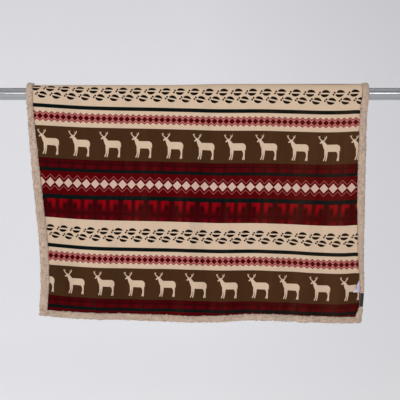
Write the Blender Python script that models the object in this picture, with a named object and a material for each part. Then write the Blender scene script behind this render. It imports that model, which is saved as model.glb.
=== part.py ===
"""A printed fleece throw with a sherpa backing, hanging over a round metal rod.

The origin is on the rod's axis, midway along it. X runs along the rod, the printed
front faces -Y and Z is up. Every length is in metres.

The throw is a rectangle that lies over the rod: a front drop, a half turn and a back
drop. A point of it is named by three numbers:

across  0 at the left edge, 1 where the left border ends, 2 where the right border
        starts and 3 at the right edge
along   metres of cloth, from the front hem up over the rod and down to the back hem
depth   metres out from the side of the cloth that lies on the rod
"""

import math
from collections import namedtuple

import bmesh
import bpy

# The rod
ROD_RADIUS = 0.027
ROD_LENGTH = 1.900
ROD_SIDES = 48
ROD_END_BEVEL = 0.0015

# The throw as cut, and the thickness of its two cloths
CLOTH_LENGTH = 2.032
BACKING_THICKNESS = 0.010
FACE_THICKNESS = 0.0025
BORDER_THICKNESS = 0.020
HEM_BORDER = 0.0275
LABEL_THICKNESS = 0.001

# Clear space between two pieces, and between the rod and the faceted turn of the cloth
GAP = 0.0003
ROD_CLEARANCE = 0.0005

TURN_RADIUS = ROD_RADIUS + ROD_CLEARANCE
FACE_BACK = BACKING_THICKNESS + GAP
FACE_FRONT = FACE_BACK + FACE_THICKNESS
TURN_LENGTH = math.pi * (TURN_RADIUS + BACKING_THICKNESS / 2)

# Outline of the front drop at shares of its height, 0 at the rod and 1 at the hem
EdgeRow = namedtuple("EdgeRow", "share left right left_border right_border")
EDGES = (
    EdgeRow(0.00, -0.772, 0.752, 0.0275, 0.0305),
    EdgeRow(0.10, -0.765, 0.741, 0.0270, 0.0305),
    EdgeRow(0.30, -0.750, 0.735, 0.0330, 0.0330),
    EdgeRow(0.50, -0.730, 0.731, 0.0360, 0.0315),
    EdgeRow(0.70, -0.711, 0.728, 0.0380, 0.0250),
    EdgeRow(0.85, -0.705, 0.726, 0.0370, 0.0190),
    EdgeRow(0.93, -0.709, 0.723, 0.0350, 0.0185),
    EdgeRow(0.97, -0.711, 0.719, 0.0340, 0.0300),
    EdgeRow(1.00, -0.714, 0.714, 0.0340, 0.0300),
)

# Height of the front drop, from the rod's axis to the hem, across the throw
DropRow = namedtuple("DropRow", "share drop")
FRONT_DROP = (
    DropRow(0.00, 0.986),
    DropRow(0.07, 0.998),
    DropRow(0.15, 1.003),
    DropRow(0.30, 1.008),
    DropRow(0.48, 1.017),
    DropRow(0.58, 1.014),
    DropRow(0.70, 1.007),
    DropRow(0.78, 1.014),
    DropRow(1.00, 1.024),
)

# Soft upright folds: where across, half width as a share, how far out, and the share
# of the drop at which they begin
Fold = namedtuple("Fold", "across width out start")
FRONT_FOLDS = (
    Fold(0.01, 0.040, 0.013, 0.30),
    Fold(0.19, 0.048, 0.017, 0.15),
    Fold(0.325, 0.045, 0.019, 0.25),
    Fold(0.46, 0.042, 0.017, 0.10),
    Fold(0.565, 0.034, 0.014, 0.30),
    Fold(0.71, 0.042, 0.024, 0.05),
    Fold(0.82, 0.036, 0.018, 0.20),
    Fold(0.92, 0.032, 0.016, 0.15),
)
BACK_FOLDS = (
    Fold(0.06, 0.055, 0.012, 0.10),
    Fold(0.24, 0.060, 0.018, 0.20),
    Fold(0.45, 0.065, 0.012, 0.05),
    Fold(0.66, 0.060, 0.019, 0.25),
    Fold(0.88, 0.055, 0.013, 0.10),
)
FOLD_GROWTH = 0.8

# How far the cloth between the folds sinks in at the hems, and how far the back drop's
# edges lie inside the front drop's
FOLD_REST = 0.007
BACK_TUCK = 0.012

# The slanting crease at the lower left: its two ends as X and Z, half width and
# height. It is full height near its middle and gone past its ends
CREASE_TOP = (-0.655, -0.740)
CREASE_BOTTOM = (-0.590, -0.915)
CREASE_WIDTH = 0.034
CREASE_OUT = 0.012
CREASE_FULL = 0.2
CREASE_GONE = 1.0

# The right edge rolls towards the back between these shares of the drop
ROLL_START = 0.50
ROLL_END = 0.80
ROLL_WIDTH = 0.030
ROLL_BACK = 0.016

# Grid of the sheets. Border steps are shares of the border's width: a rounded outer
# edge, a flat top, and the short wall down to the printed face
BORDER_STEPS = (0.0, 0.07, 0.27, 0.95, 1.0)
BORDER_ROUND = 0.27
CELLS_ACROSS = 28
CELLS_FRONT = 13
CELLS_TURN = 12
CELLS_BACK = 9

# The two labels at the right edge: heights along the cloth from the front hem, and how
# far the hanging one reaches from the seam, as a share of the printed width
EDGE_LABEL_BOTTOM = 0.074
EDGE_LABEL_TOP = 0.134
TAG_TOP = 0.196
TAG_ACROSS = 0.0234

# Path of the edge label round the border: shares of the border's width, and how a gap
# to the surface is split outwards and forwards there
Wrap = namedtuple("Wrap", "inset outward forward")
LABEL_WRAP = (
    Wrap(0.95, 0.0, 1.0),
    Wrap(0.27, 0.4, 1.0),
    Wrap(0.07, 1.0, 0.7),
)

# Points closer than this are one point
SAME_POINT = 1e-6

# Smooth shading stops at edges sharper than this
SHARP_ANGLE = math.radians(40)

# Colours as linear RGB
STEEL = (0.56, 0.57, 0.58)
SHERPA_BEIGE = (0.50, 0.39, 0.28)
PRINT_MAROON = (0.12, 0.012, 0.014)
SATIN_WHITE = (0.78, 0.76, 0.82)
LABEL_GREEN = (0.045, 0.055, 0.045)


def blend(start, end, share):
    """The value `share` of the way from start to end."""
    return start + (end - start) * share


def ease(value, start, end):
    """0 up to start, 1 from end on, and a smooth step between them."""
    share = min(max((value - start) / (end - start), 0.0), 1.0)
    return share * share * (3.0 - 2.0 * share)


def read_off(rows, value, column):
    """A column's value on the smooth curve through the rows of a table."""
    keys = [row.share for row in rows]
    heights = [getattr(row, column) for row in rows]
    value = min(max(value, keys[0]), keys[-1])
    last = len(rows) - 2
    index = min(max(sum(1 for key in keys if key <= value) - 1, 0), last)

    def slope(at):
        before = max(at - 1, 0)
        after = min(at + 1, len(rows) - 1)
        return (heights[after] - heights[before]) / (keys[after] - keys[before])

    span = keys[index + 1] - keys[index]
    t = (value - keys[index]) / span
    square = t * t
    cube = square * t
    return ((2 * cube - 3 * square + 1) * heights[index]
            + (cube - 2 * square + t) * span * slope(index)
            + (3 * square - 2 * cube) * heights[index + 1]
            + (cube - square) * span * slope(index + 1))


def share_across(across):
    """Where a point lies across the throw, from 0 at the left edge to 1 at the right."""
    border = EDGES[0].left_border / (EDGES[0].right - EDGES[0].left)
    if across < 1.0:
        return border * across
    if across > 2.0:
        return 1.0 - border * (3.0 - across)
    return blend(border, 1.0 - border, across - 1.0)


def x_at(across, drop_share):
    """X of a point, from the outline at its height."""
    left = read_off(EDGES, drop_share, "left")
    right = read_off(EDGES, drop_share, "right")
    inner_left = left + read_off(EDGES, drop_share, "left_border")
    inner_right = right - read_off(EDGES, drop_share, "right_border")
    if across < 1.0:
        return blend(left, inner_left, across)
    if across > 2.0:
        return blend(inner_right, right, across - 2.0)
    return blend(inner_left, inner_right, across - 1.0)


def fold_out(folds, share, drop_share):
    """How far the upright folds stand out from a flat hang."""
    out = -FOLD_REST * ease(drop_share, 0.0, 1.0)
    for fold in folds:
        grown = max(drop_share - fold.start, 0.0) / (1.0 - fold.start)
        distance = (share - fold.across) / fold.width
        out += fold.out * grown ** FOLD_GROWTH * math.exp(-distance * distance)
    return out


def crease_out(x, z):
    """How far the slanting crease stands out at a point of the front."""
    run = (z - CREASE_TOP[1]) / (CREASE_BOTTOM[1] - CREASE_TOP[1])
    middle = blend(CREASE_TOP[0], CREASE_BOTTOM[0], run)
    fade = 1.0 - ease(abs(run - 0.5), CREASE_FULL, CREASE_GONE)
    distance = (x - middle) / CREASE_WIDTH
    return CREASE_OUT * fade * math.exp(-distance * distance)


def roll_back(x, drop_share):
    """How far the right edge turns away from the viewer."""
    inside = read_off(EDGES, drop_share, "right") - x
    turned = ease(drop_share, ROLL_START, ROLL_END)
    return ROLL_BACK * turned * math.exp(-inside / ROLL_WIDTH)


def place(across, along, depth):
    """The position in space of one point of the throw."""
    share = share_across(across)
    drop = read_off(FRONT_DROP, share, "drop")
    radius = TURN_RADIUS + depth
    if along < drop:
        drop_share = (drop - along) / drop
        x = x_at(across, drop_share)
        z = along - drop
        out = fold_out(FRONT_FOLDS, share, drop_share) + crease_out(x, z)
        out -= roll_back(x, drop_share)
        return (x, -radius - out, z)
    if along < drop + TURN_LENGTH:
        angle = math.pi * (along - drop) / TURN_LENGTH
        return (x_at(across, 0.0), -radius * math.cos(angle), radius * math.sin(angle))
    z = drop + TURN_LENGTH - along
    drop_share = -z / (CLOTH_LENGTH - TURN_LENGTH - drop)
    tuck = BACK_TUCK * drop_share * (1.0 - 2.0 * share)
    x = x_at(across, -z / drop) + tuck
    return (x, radius + fold_out(BACK_FOLDS, share, drop_share), z)


def border_lines():
    """Lines across the throw, dense at the borders."""
    inner = [1.0 + cell / CELLS_ACROSS for cell in range(1, CELLS_ACROSS)]
    inner.append(2.0 - TAG_ACROSS)
    outer = [3.0 - step for step in BORDER_STEPS]
    return sorted(list(BORDER_STEPS) + inner + outer)


def rows_at(across):
    """Lengths along the cloth at which the rows of the grid lie, for one line."""
    drop = read_off(FRONT_DROP, share_across(across), "drop")
    rows = [step * HEM_BORDER for step in BORDER_STEPS]
    rows += [EDGE_LABEL_BOTTOM, EDGE_LABEL_TOP]
    rows += [blend(TAG_TOP, drop, cell / CELLS_FRONT) for cell in range(CELLS_FRONT)]
    rows += [drop + TURN_LENGTH * cell / CELLS_TURN for cell in range(CELLS_TURN)]
    back_start = drop + TURN_LENGTH
    back_end = CLOTH_LENGTH - HEM_BORDER
    rows += [blend(back_start, back_end, cell / CELLS_BACK) for cell in range(CELLS_BACK)]
    rows += [CLOTH_LENGTH - step * HEM_BORDER for step in reversed(BORDER_STEPS)]
    return rows


def border_share(across, along):
    """0 at the nearest outer edge, 1 and more inside the border."""
    side = min(across, 3.0 - across)
    hem = min(along, CLOTH_LENGTH - along) / HEM_BORDER
    return min(side, hem)


def border_swell(inside):
    """Half the border's thickness at a share of its width from the outer edge."""
    curve = 1.0 - min(inside / BORDER_ROUND, 1.0)
    return BORDER_THICKNESS / 2 * math.sqrt(1.0 - curve * curve)


def backing_depths(across, along):
    """Depths of the backing's rod side and outer side at a point."""
    inside = border_share(across, along)
    if inside >= 1.0 - SAME_POINT:
        return 0.0, BACKING_THICKNESS
    middle = BORDER_THICKNESS / 2
    swell = border_swell(inside)
    return middle - swell, middle + swell


def object_from(bm, name, colour, roughness, metallic=0.0):
    """A named object with its own material, made from a finished bmesh."""
    bmesh.ops.recalc_face_normals(bm, faces=bm.faces[:])
    mesh = bpy.data.meshes.new(name)
    bm.to_mesh(mesh)
    bm.free()
    mesh.shade_smooth()
    mesh.set_sharp_from_angle(angle=SHARP_ANGLE)
    material = bpy.data.materials.new(name)
    material.use_nodes = True
    shader = material.node_tree.nodes["Principled BSDF"]
    shader.inputs["Base Color"].default_value = (*colour, 1.0)
    shader.inputs["Roughness"].default_value = roughness
    shader.inputs["Metallic"].default_value = metallic
    mesh.materials.append(material)
    thing = bpy.data.objects.new(name, mesh)
    bpy.context.scene.collection.objects.link(thing)
    return thing


def add_grid(bm, points):
    """Triangles through a grid of points, every cell cut along the same diagonal.

    Only the cells at two corners are cut the other way, so that no triangle has all
    three of its points on the outer edge.
    """
    verts = [[bm.verts.new(point) for point in column] for column in points]
    cells_across = len(verts) - 1
    cells_along = len(verts[0]) - 1
    corners = ((cells_across - 1, 0), (0, cells_along - 1))
    for line in range(cells_across):
        left = verts[line]
        right = verts[line + 1]
        for row in range(cells_along):
            if (line, row) in corners:
                bm.faces.new((left[row], right[row], left[row + 1]))
                bm.faces.new((right[row], right[row + 1], left[row + 1]))
            else:
                bm.faces.new((left[row], right[row], right[row + 1]))
                bm.faces.new((left[row], right[row + 1], left[row + 1]))
    return verts


def add_rim(bm, inner, outer):
    """A wall that closes the space between two grids along their four sides."""

    def outline(grid):
        bottom = [column[0] for column in grid]
        right = grid[-1][1:]
        top = [column[-1] for column in grid[-2::-1]]
        left = grid[0][-2:0:-1]
        return bottom + right + top + left

    inside = outline(inner)
    outside = outline(outer)
    for index, here in enumerate(inside):
        after = (index + 1) % len(inside)
        bm.faces.new((here, inside[after], outside[after]))
        bm.faces.new((here, outside[after], outside[index]))


def make_backing():
    """The sherpa cloth, its four edges turned to the front as a border."""
    rod_side = []
    outer_side = []
    for across in border_lines():
        rows = rows_at(across)
        depths = [backing_depths(across, along) for along in rows]
        rod_side.append([place(across, along, low) for along, (low, _) in zip(rows, depths)])
        outer_side.append([place(across, along, high) for along, (_, high) in zip(rows, depths)])
    bm = bmesh.new()
    add_grid(bm, rod_side)
    add_grid(bm, outer_side)
    bmesh.ops.remove_doubles(bm, verts=bm.verts[:], dist=SAME_POINT)
    return object_from(bm, "sherpa_backing", SHERPA_BEIGE, 0.95)


def make_face():
    """The printed cloth, lying on the backing inside its border."""
    width = EDGES[0].right - EDGES[0].left
    start = 1.0 + GAP / width
    lines = [line for line in border_lines() if 1.0 <= line <= 2.0]
    lines = [min(max(line, start), 3.0 - start) for line in lines]
    low = []
    high = []
    for across in lines:
        rows = [row for row in rows_at(across) if HEM_BORDER <= row <= CLOTH_LENGTH - HEM_BORDER]
        rows = [min(max(row, HEM_BORDER + GAP), CLOTH_LENGTH - HEM_BORDER - GAP) for row in rows]
        low.append([place(across, along, FACE_BACK) for along in rows])
        high.append([place(across, along, FACE_FRONT) for along in rows])
    bm = bmesh.new()
    add_rim(bm, add_grid(bm, low), add_grid(bm, high))
    return object_from(bm, "face_panel", PRINT_MAROON, 0.85)


def make_care_label():
    """The white satin label that hangs from the seam of the right border."""
    start = 2.0 - GAP / (EDGES[0].right - EDGES[0].left)
    corners = (
        (2.0 - TAG_ACROSS, EDGE_LABEL_TOP),
        (start, EDGE_LABEL_TOP),
        (start, TAG_TOP),
    )
    bm = bmesh.new()
    layers = []
    for depth in (FACE_FRONT + GAP, FACE_FRONT + GAP + LABEL_THICKNESS):
        layers.append([bm.verts.new(place(across, along, depth)) for across, along in corners])
    back, front = layers
    bm.faces.new(back)
    bm.faces.new(front)
    for index in range(3):
        after = (index + 1) % 3
        bm.faces.new((back[index], back[after], front[after], front[index]))
    return object_from(bm, "care_label", SATIN_WHITE, 0.45)


def label_section(along, gap):
    """The edge label's path round the right border, a little way off its surface."""
    drop = read_off(FRONT_DROP, 1.0, "drop")
    border = read_off(EDGES, (drop - along) / drop, "right_border")
    middle = BORDER_THICKNESS / 2
    front = []
    back = []
    for wrap in LABEL_WRAP:
        across = 3.0 - wrap.inset + gap * wrap.outward / border
        swell = border_swell(wrap.inset) + gap * wrap.forward
        front.append(place(across, along, middle + swell))
        back.append(place(across, along, middle - swell))
    edge = place(3.0 + gap / border, along, middle)
    return front + [edge] + back[::-1]


def make_edge_label():
    """The dark label folded round the right edge, front and back."""
    ends = (EDGE_LABEL_BOTTOM, EDGE_LABEL_TOP)
    inner = list(zip(*(label_section(along, GAP) for along in ends)))
    outer = list(zip(*(label_section(along, GAP + LABEL_THICKNESS) for along in ends)))
    bm = bmesh.new()
    add_rim(bm, add_grid(bm, inner), add_grid(bm, outer))
    return object_from(bm, "edge_label", LABEL_GREEN, 0.8)


def make_rod():
    """The plain round rod, with a small chamfer at each end."""
    bm = bmesh.new()
    bmesh.ops.create_cone(bm, cap_ends=True, segments=ROD_SIDES, radius1=ROD_RADIUS,
                          radius2=ROD_RADIUS, depth=ROD_LENGTH)
    rims = [edge for edge in bm.edges if edge.calc_face_angle() > math.radians(80)]
    bmesh.ops.bevel(bm, geom=rims, offset=ROD_END_BEVEL, segments=1, affect="EDGES")
    for vert in bm.verts:
        vert.co = (vert.co.z, vert.co.y, -vert.co.x)
    return object_from(bm, "rod", STEEL, 0.3, metallic=1.0)


def build():
    """Everything, in an empty scene."""
    for thing in list(bpy.data.objects):
        bpy.data.objects.remove(thing, do_unlink=True)
    make_rod()
    make_backing()
    make_face()
    make_care_label()
    make_edge_label()


build()
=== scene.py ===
# %% [markdown]
# A fleece throw hangs over a round metal rod. The real one is two cloths of the same size:
# a thin printed fleece and a curly sherpa, whose four edges are turned to the front and
# stitched down as a border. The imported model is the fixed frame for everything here.

# %% Load the frame
import math
from collections import namedtuple

import bmesh
import bpy
import numpy as np
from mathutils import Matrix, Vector, noise

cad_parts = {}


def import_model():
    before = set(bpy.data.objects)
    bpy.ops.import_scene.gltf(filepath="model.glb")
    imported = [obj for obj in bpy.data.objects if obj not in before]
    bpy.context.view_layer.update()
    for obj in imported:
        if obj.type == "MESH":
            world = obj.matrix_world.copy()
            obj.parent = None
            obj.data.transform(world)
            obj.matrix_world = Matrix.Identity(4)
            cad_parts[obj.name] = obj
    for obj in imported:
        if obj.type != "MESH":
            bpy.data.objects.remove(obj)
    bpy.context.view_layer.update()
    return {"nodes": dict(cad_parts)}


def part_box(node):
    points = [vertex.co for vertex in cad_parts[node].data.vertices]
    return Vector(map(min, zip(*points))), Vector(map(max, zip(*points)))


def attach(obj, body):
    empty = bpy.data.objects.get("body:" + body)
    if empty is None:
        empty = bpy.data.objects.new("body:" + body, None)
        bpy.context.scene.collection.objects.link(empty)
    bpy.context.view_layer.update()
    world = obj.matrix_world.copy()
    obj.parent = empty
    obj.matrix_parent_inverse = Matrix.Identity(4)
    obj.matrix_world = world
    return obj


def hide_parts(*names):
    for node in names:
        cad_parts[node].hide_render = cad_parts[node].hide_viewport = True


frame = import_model()

# %% [markdown]
# A point of the throw is named by three numbers, as a maker would lay it out flat.
# `across` runs from 0 at the left edge over 1 and 2, the inner sides of the borders, to 3
# at the right edge. `along` is metres of cloth from the front hem up over the rod and down
# to the back hem, and `depth` is metres out from the side that lies on the rod. These
# tables say how that flat cloth hangs, and they are the ones that the solids follow.

# %% Sizes of the throw, in metres
ROD_RADIUS = 0.027
CLOTH_LENGTH = 2.032
CLOTH_WIDTH = 1.524
BACKING_THICKNESS = 0.010
FACE_THICKNESS = 0.0025
BORDER_THICKNESS = 0.020
BORDER_ROUND = 0.27
HEM_BORDER = 0.0275
GAP = 0.0003
TURN_RADIUS = 0.0275
TURN_LENGTH = math.pi * (TURN_RADIUS + BACKING_THICKNESS / 2)
FACE_BACK = BACKING_THICKNESS + GAP
FACE_FRONT = FACE_BACK + FACE_THICKNESS

EdgeRow = namedtuple("EdgeRow", "share left right left_border right_border")
EDGES = (
    EdgeRow(0.00, -0.772, 0.752, 0.0275, 0.0305),
    EdgeRow(0.10, -0.765, 0.741, 0.0270, 0.0305),
    EdgeRow(0.30, -0.750, 0.735, 0.0330, 0.0330),
    EdgeRow(0.50, -0.730, 0.731, 0.0360, 0.0315),
    EdgeRow(0.70, -0.711, 0.729, 0.0380, 0.0250),
    EdgeRow(0.85, -0.705, 0.731, 0.0370, 0.0190),
    EdgeRow(0.93, -0.709, 0.726, 0.0350, 0.0180),
    EdgeRow(0.97, -0.711, 0.722, 0.0340, 0.0310),
    EdgeRow(1.00, -0.714, 0.717, 0.0340, 0.0310),
)
DropRow = namedtuple("DropRow", "share drop")
FRONT_DROP = (
    DropRow(0.00, 0.986),
    DropRow(0.07, 0.998),
    DropRow(0.15, 1.003),
    DropRow(0.30, 1.008),
    DropRow(0.48, 1.017),
    DropRow(0.58, 1.014),
    DropRow(0.70, 1.007),
    DropRow(0.78, 1.014),
    DropRow(1.00, 1.024),
)
Fold = namedtuple("Fold", "across width out start")
FRONT_FOLDS = (
    Fold(0.01, 0.040, 0.013, 0.30),
    Fold(0.19, 0.048, 0.017, 0.15),
    Fold(0.325, 0.045, 0.019, 0.25),
    Fold(0.46, 0.042, 0.017, 0.10),
    Fold(0.565, 0.034, 0.014, 0.30),
    Fold(0.71, 0.042, 0.024, 0.05),
    Fold(0.82, 0.036, 0.018, 0.20),
    Fold(0.92, 0.032, 0.016, 0.15),
)
BACK_FOLDS = (
    Fold(0.06, 0.055, 0.012, 0.10),
    Fold(0.24, 0.060, 0.018, 0.20),
    Fold(0.45, 0.065, 0.012, 0.05),
    Fold(0.66, 0.060, 0.019, 0.25),
    Fold(0.88, 0.055, 0.013, 0.10),
)
FOLD_GROWTH = 0.8
FOLD_REST = 0.007
BACK_TUCK = 0.012
CREASE_TOP = (-0.655, -0.740)
CREASE_BOTTOM = (-0.590, -0.915)
CREASE_WIDTH = 0.034
CREASE_OUT = 0.012
CREASE_FULL = 0.2
CREASE_GONE = 1.0
ROLL_START = 0.50
ROLL_END = 0.80
ROLL_WIDTH = 0.030
ROLL_BACK = 0.016
print("cut", CLOTH_WIDTH, "by", CLOTH_LENGTH, "m,", len(FRONT_FOLDS), "folds in front")

# %% [markdown]
# The solids carry the broad folds. A throw that has been packed flat also keeps thin
# upright creases, a few millimetres wide, and its surface is never quite even. The creases
# are placed one by one, each as a ridge or a trough that fades out at both ends, and the
# unevenness is a smooth random field of about a hand's width with a fixed seed.

# %% Fine creases and unevenness of the front
Crease = namedtuple("Crease", "x_top x_bottom z_top z_bottom width out")
CREASES = (
    Crease(-0.352, -0.346, -0.06, -0.90, 0.007, 0.0016),
    Crease(-0.160, -0.155, -0.18, -0.56, 0.006, -0.0018),
    Crease(-0.052, -0.043, -0.03, -0.96, 0.007, 0.0020),
    Crease(0.012, 0.020, -0.08, -0.99, 0.006, -0.0024),
    Crease(0.120, 0.131, -0.30, -0.97, 0.009, 0.0018),
    Crease(0.286, 0.279, -0.06, -0.98, 0.006, -0.0026),
    Crease(0.372, 0.384, -0.10, -0.92, 0.007, 0.0016),
    Crease(0.420, 0.414, -0.25, -0.90, 0.006, -0.0016),
    Crease(0.476, 0.486, -0.02, -0.97, 0.008, 0.0020),
    Crease(0.540, 0.552, -0.14, -0.98, 0.008, -0.0024),
    Crease(0.644, 0.636, -0.12, -0.62, 0.006, -0.0020),
    Crease(-0.560, -0.585, -0.45, -0.97, 0.012, -0.0020),
)
CREASE_FADE = 0.18
UNEVEN_CELL = 0.085
UNEVEN_OUT = 0.0022
UNEVEN_SEED = 7
UNEVEN_CELLS = 32
UNEVEN_GROWTH = (0.05, 0.5)


def ease(value, start, end):
    """0 up to start, 1 from end on, and a smooth step between them."""
    share = np.clip((value - start) / (end - start), 0.0, 1.0)
    return share * share * (3.0 - 2.0 * share)


uneven_heights = np.random.default_rng(UNEVEN_SEED).uniform(
    -1.0, 1.0, (UNEVEN_CELLS, UNEVEN_CELLS))


def unevenness(x, z):
    """A smooth random height between -1 and 1, from a grid of fixed random heights."""
    column = (x / UNEVEN_CELL) % UNEVEN_CELLS
    row = (z / (2.0 * UNEVEN_CELL)) % UNEVEN_CELLS
    left = np.floor(column).astype(int)
    low = np.floor(row).astype(int)
    sideways = ease(column - left, 0.0, 1.0)
    upwards = ease(row - low, 0.0, 1.0)
    right = (left + 1) % UNEVEN_CELLS
    high = (low + 1) % UNEVEN_CELLS
    bottom = uneven_heights[left, low] * (1 - sideways) + uneven_heights[right, low] * sideways
    top = uneven_heights[left, high] * (1 - sideways) + uneven_heights[right, high] * sideways
    return bottom * (1 - upwards) + top * upwards


def fine_creases(x, z):
    """How far the thin creases stand out at a point of the front."""
    out = np.zeros(np.shape(x))
    for crease in CREASES:
        run = (z - crease.z_top) / (crease.z_bottom - crease.z_top)
        middle = crease.x_top + (crease.x_bottom - crease.x_top) * run
        there = ease(run, 0.0, CREASE_FADE) * (1.0 - ease(run, 1.0 - CREASE_FADE, 1.0))
        out += crease.out * there * np.exp(-((x - middle) / crease.width) ** 2)
    return out


print(len(CREASES), "thin creases")

# %% [markdown]
# The placing rule is written with arrays, so one call places a whole grid of points. Each
# table is read off as a smooth curve through its rows, which keeps every outline as soft
# as cloth. The front drop, the half turn over the rod and the back drop each have their
# own formula, and they meet where the rod begins.

# %% The placing rule
def read_off(keys, heights, at):
    """Values on the smooth curve through a table, whose columns may differ by point."""
    at = np.asarray(at, float)
    shape = (len(keys), at.size)
    keys = np.broadcast_to(np.reshape(keys, (len(keys), -1)), shape)
    heights = np.broadcast_to(np.reshape(heights, (len(heights), -1)), shape)
    value = np.clip(at.ravel(), keys[0], keys[-1])
    index = np.clip((keys <= value).sum(axis=0) - 1, 0, len(keys) - 2)

    def pick(table, number):
        return np.take_along_axis(table, number[None, :], axis=0)[0]

    def slope(number):
        before = np.maximum(number - 1, 0)
        after = np.minimum(number + 1, len(keys) - 1)
        rise = pick(heights, after) - pick(heights, before)
        return rise / (pick(keys, after) - pick(keys, before))

    span = pick(keys, index + 1) - pick(keys, index)
    t = (value - pick(keys, index)) / span
    square = t * t
    cube = square * t
    curve = (2 * cube - 3 * square + 1) * pick(heights, index)
    curve += (cube - 2 * square + t) * span * slope(index)
    curve += (3 * square - 2 * cube) * pick(heights, index + 1)
    curve += (cube - square) * span * slope(index + 1)
    return curve.reshape(at.shape)


def column(rows, name):
    """One named column of a table."""
    return np.array([getattr(row, name) for row in rows], float)


def outline(name, drop_share):
    """One column of the outline at shares of the drop."""
    return read_off(column(EDGES, "share"), column(EDGES, name), drop_share)


BORDER_SHARE = EDGES[0].left_border / (EDGES[0].right - EDGES[0].left)


def share_across(across):
    """Where points lie across the throw, from 0 at the left edge to 1 at the right."""
    inside = BORDER_SHARE + (1.0 - 2.0 * BORDER_SHARE) * (across - 1.0)
    left = BORDER_SHARE * across
    right = 1.0 - BORDER_SHARE * (3.0 - across)
    return np.where(across < 1.0, left, np.where(across > 2.0, right, inside))


def across_at(share):
    """The across number of points at shares of the throw's width."""
    inside = 1.0 + (share - BORDER_SHARE) / (1.0 - 2.0 * BORDER_SHARE)
    left = share / BORDER_SHARE
    right = 3.0 - (1.0 - share) / BORDER_SHARE
    far = share > 1.0 - BORDER_SHARE
    return np.where(share < BORDER_SHARE, left, np.where(far, right, inside))


def front_drop(across):
    """Length of the front drop below the rod's axis."""
    return read_off(column(FRONT_DROP, "share"), column(FRONT_DROP, "drop"),
                    share_across(across))


def x_at(across, drop_share):
    """X of points, from the outline at their height."""
    left = outline("left", drop_share)
    right = outline("right", drop_share)
    inner_left = left + outline("left_border", drop_share)
    inner_right = right - outline("right_border", drop_share)
    in_left = left + (inner_left - left) * across
    in_right = inner_right + (right - inner_right) * (across - 2.0)
    inside = inner_left + (inner_right - inner_left) * (across - 1.0)
    return np.where(across < 1.0, in_left, np.where(across > 2.0, in_right, inside))


def fold_out(folds, share, drop_share):
    """How far the upright folds stand out from a flat hang."""
    out = -FOLD_REST * ease(drop_share, 0.0, 1.0)
    for fold in folds:
        grown = np.maximum(drop_share - fold.start, 0.0) / (1.0 - fold.start)
        distance = (share - fold.across) / fold.width
        out = out + fold.out * grown ** FOLD_GROWTH * np.exp(-distance * distance)
    return out


def crease_out(x, z):
    """How far the slanting crease at the lower left stands out."""
    run = (z - CREASE_TOP[1]) / (CREASE_BOTTOM[1] - CREASE_TOP[1])
    middle = CREASE_TOP[0] + (CREASE_BOTTOM[0] - CREASE_TOP[0]) * run
    fade = 1.0 - ease(abs(run - 0.5), CREASE_FULL, CREASE_GONE)
    return CREASE_OUT * fade * np.exp(-((x - middle) / CREASE_WIDTH) ** 2)


def roll_back(x, drop_share):
    """How far the right edge turns away from the viewer."""
    inside = outline("right", drop_share) - x
    return ROLL_BACK * ease(drop_share, ROLL_START, ROLL_END) * np.exp(-inside / ROLL_WIDTH)


def place(across, along, depth):
    """Positions in space of points of the throw, with X, Y and Z last."""
    across, along, depth = (np.array(part, float)
                            for part in np.broadcast_arrays(across, along, depth))
    share = share_across(across)
    drop = front_drop(across)
    radius = TURN_RADIUS + depth
    front = np.clip((drop - along) / drop, 0.0, 1.0)
    front_x = x_at(across, front)
    front_z = along - drop
    out = fold_out(FRONT_FOLDS, share, front) + crease_out(front_x, front_z)
    out = out - roll_back(front_x, front) + fine_creases(front_x, front_z)
    front_uneven = ease(front, *UNEVEN_GROWTH) * unevenness(front_x, front_z)
    out = out + UNEVEN_OUT * front_uneven
    angle = math.pi * (along - drop) / TURN_LENGTH
    back_z = drop + TURN_LENGTH - along
    back = np.clip(-back_z / (CLOTH_LENGTH - TURN_LENGTH - drop), 0.0, 1.0)
    back_x = x_at(across, np.clip(-back_z / drop, 0.0, 1.0))
    back_x = back_x + BACK_TUCK * back * (1.0 - 2.0 * share)
    back_out = fold_out(BACK_FOLDS, share, back)
    back_uneven = ease(back, *UNEVEN_GROWTH) * unevenness(back_x + 1.0, back_z)
    back_out = back_out + UNEVEN_OUT * back_uneven
    in_front = along < drop
    behind = along >= drop + TURN_LENGTH
    x = np.where(in_front, front_x, np.where(behind, back_x, x_at(across, 0.0 * share)))
    y = np.where(in_front, -radius - out, np.where(behind, radius + back_out,
                                                   -radius * np.cos(angle)))
    z = np.where(in_front, front_z, np.where(behind, back_z, radius * np.sin(angle)))
    return np.stack((x, y, z), axis=-1)


print("front hem at the middle:", place(1.5, 0.0, FACE_FRONT).round(3))

# %% [markdown]
# The print has its own ruler, because hanging cloth stretches and leans a little. One
# table gives the heights at which the lines of the print hang, at seven places across the
# front, and another where four of the deer stand in the upper and the lower row. Smooth
# curves through both turn any point of the cloth into print metres: u sideways and v down
# from the start of a repeat. SAGS adds the few millimetres by which the lines sag between
# those places, and BAND_SHIFTS how far the middle band is pulled sideways at its ends. Over
# the rod and down the back v runs on with the cloth.

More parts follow.
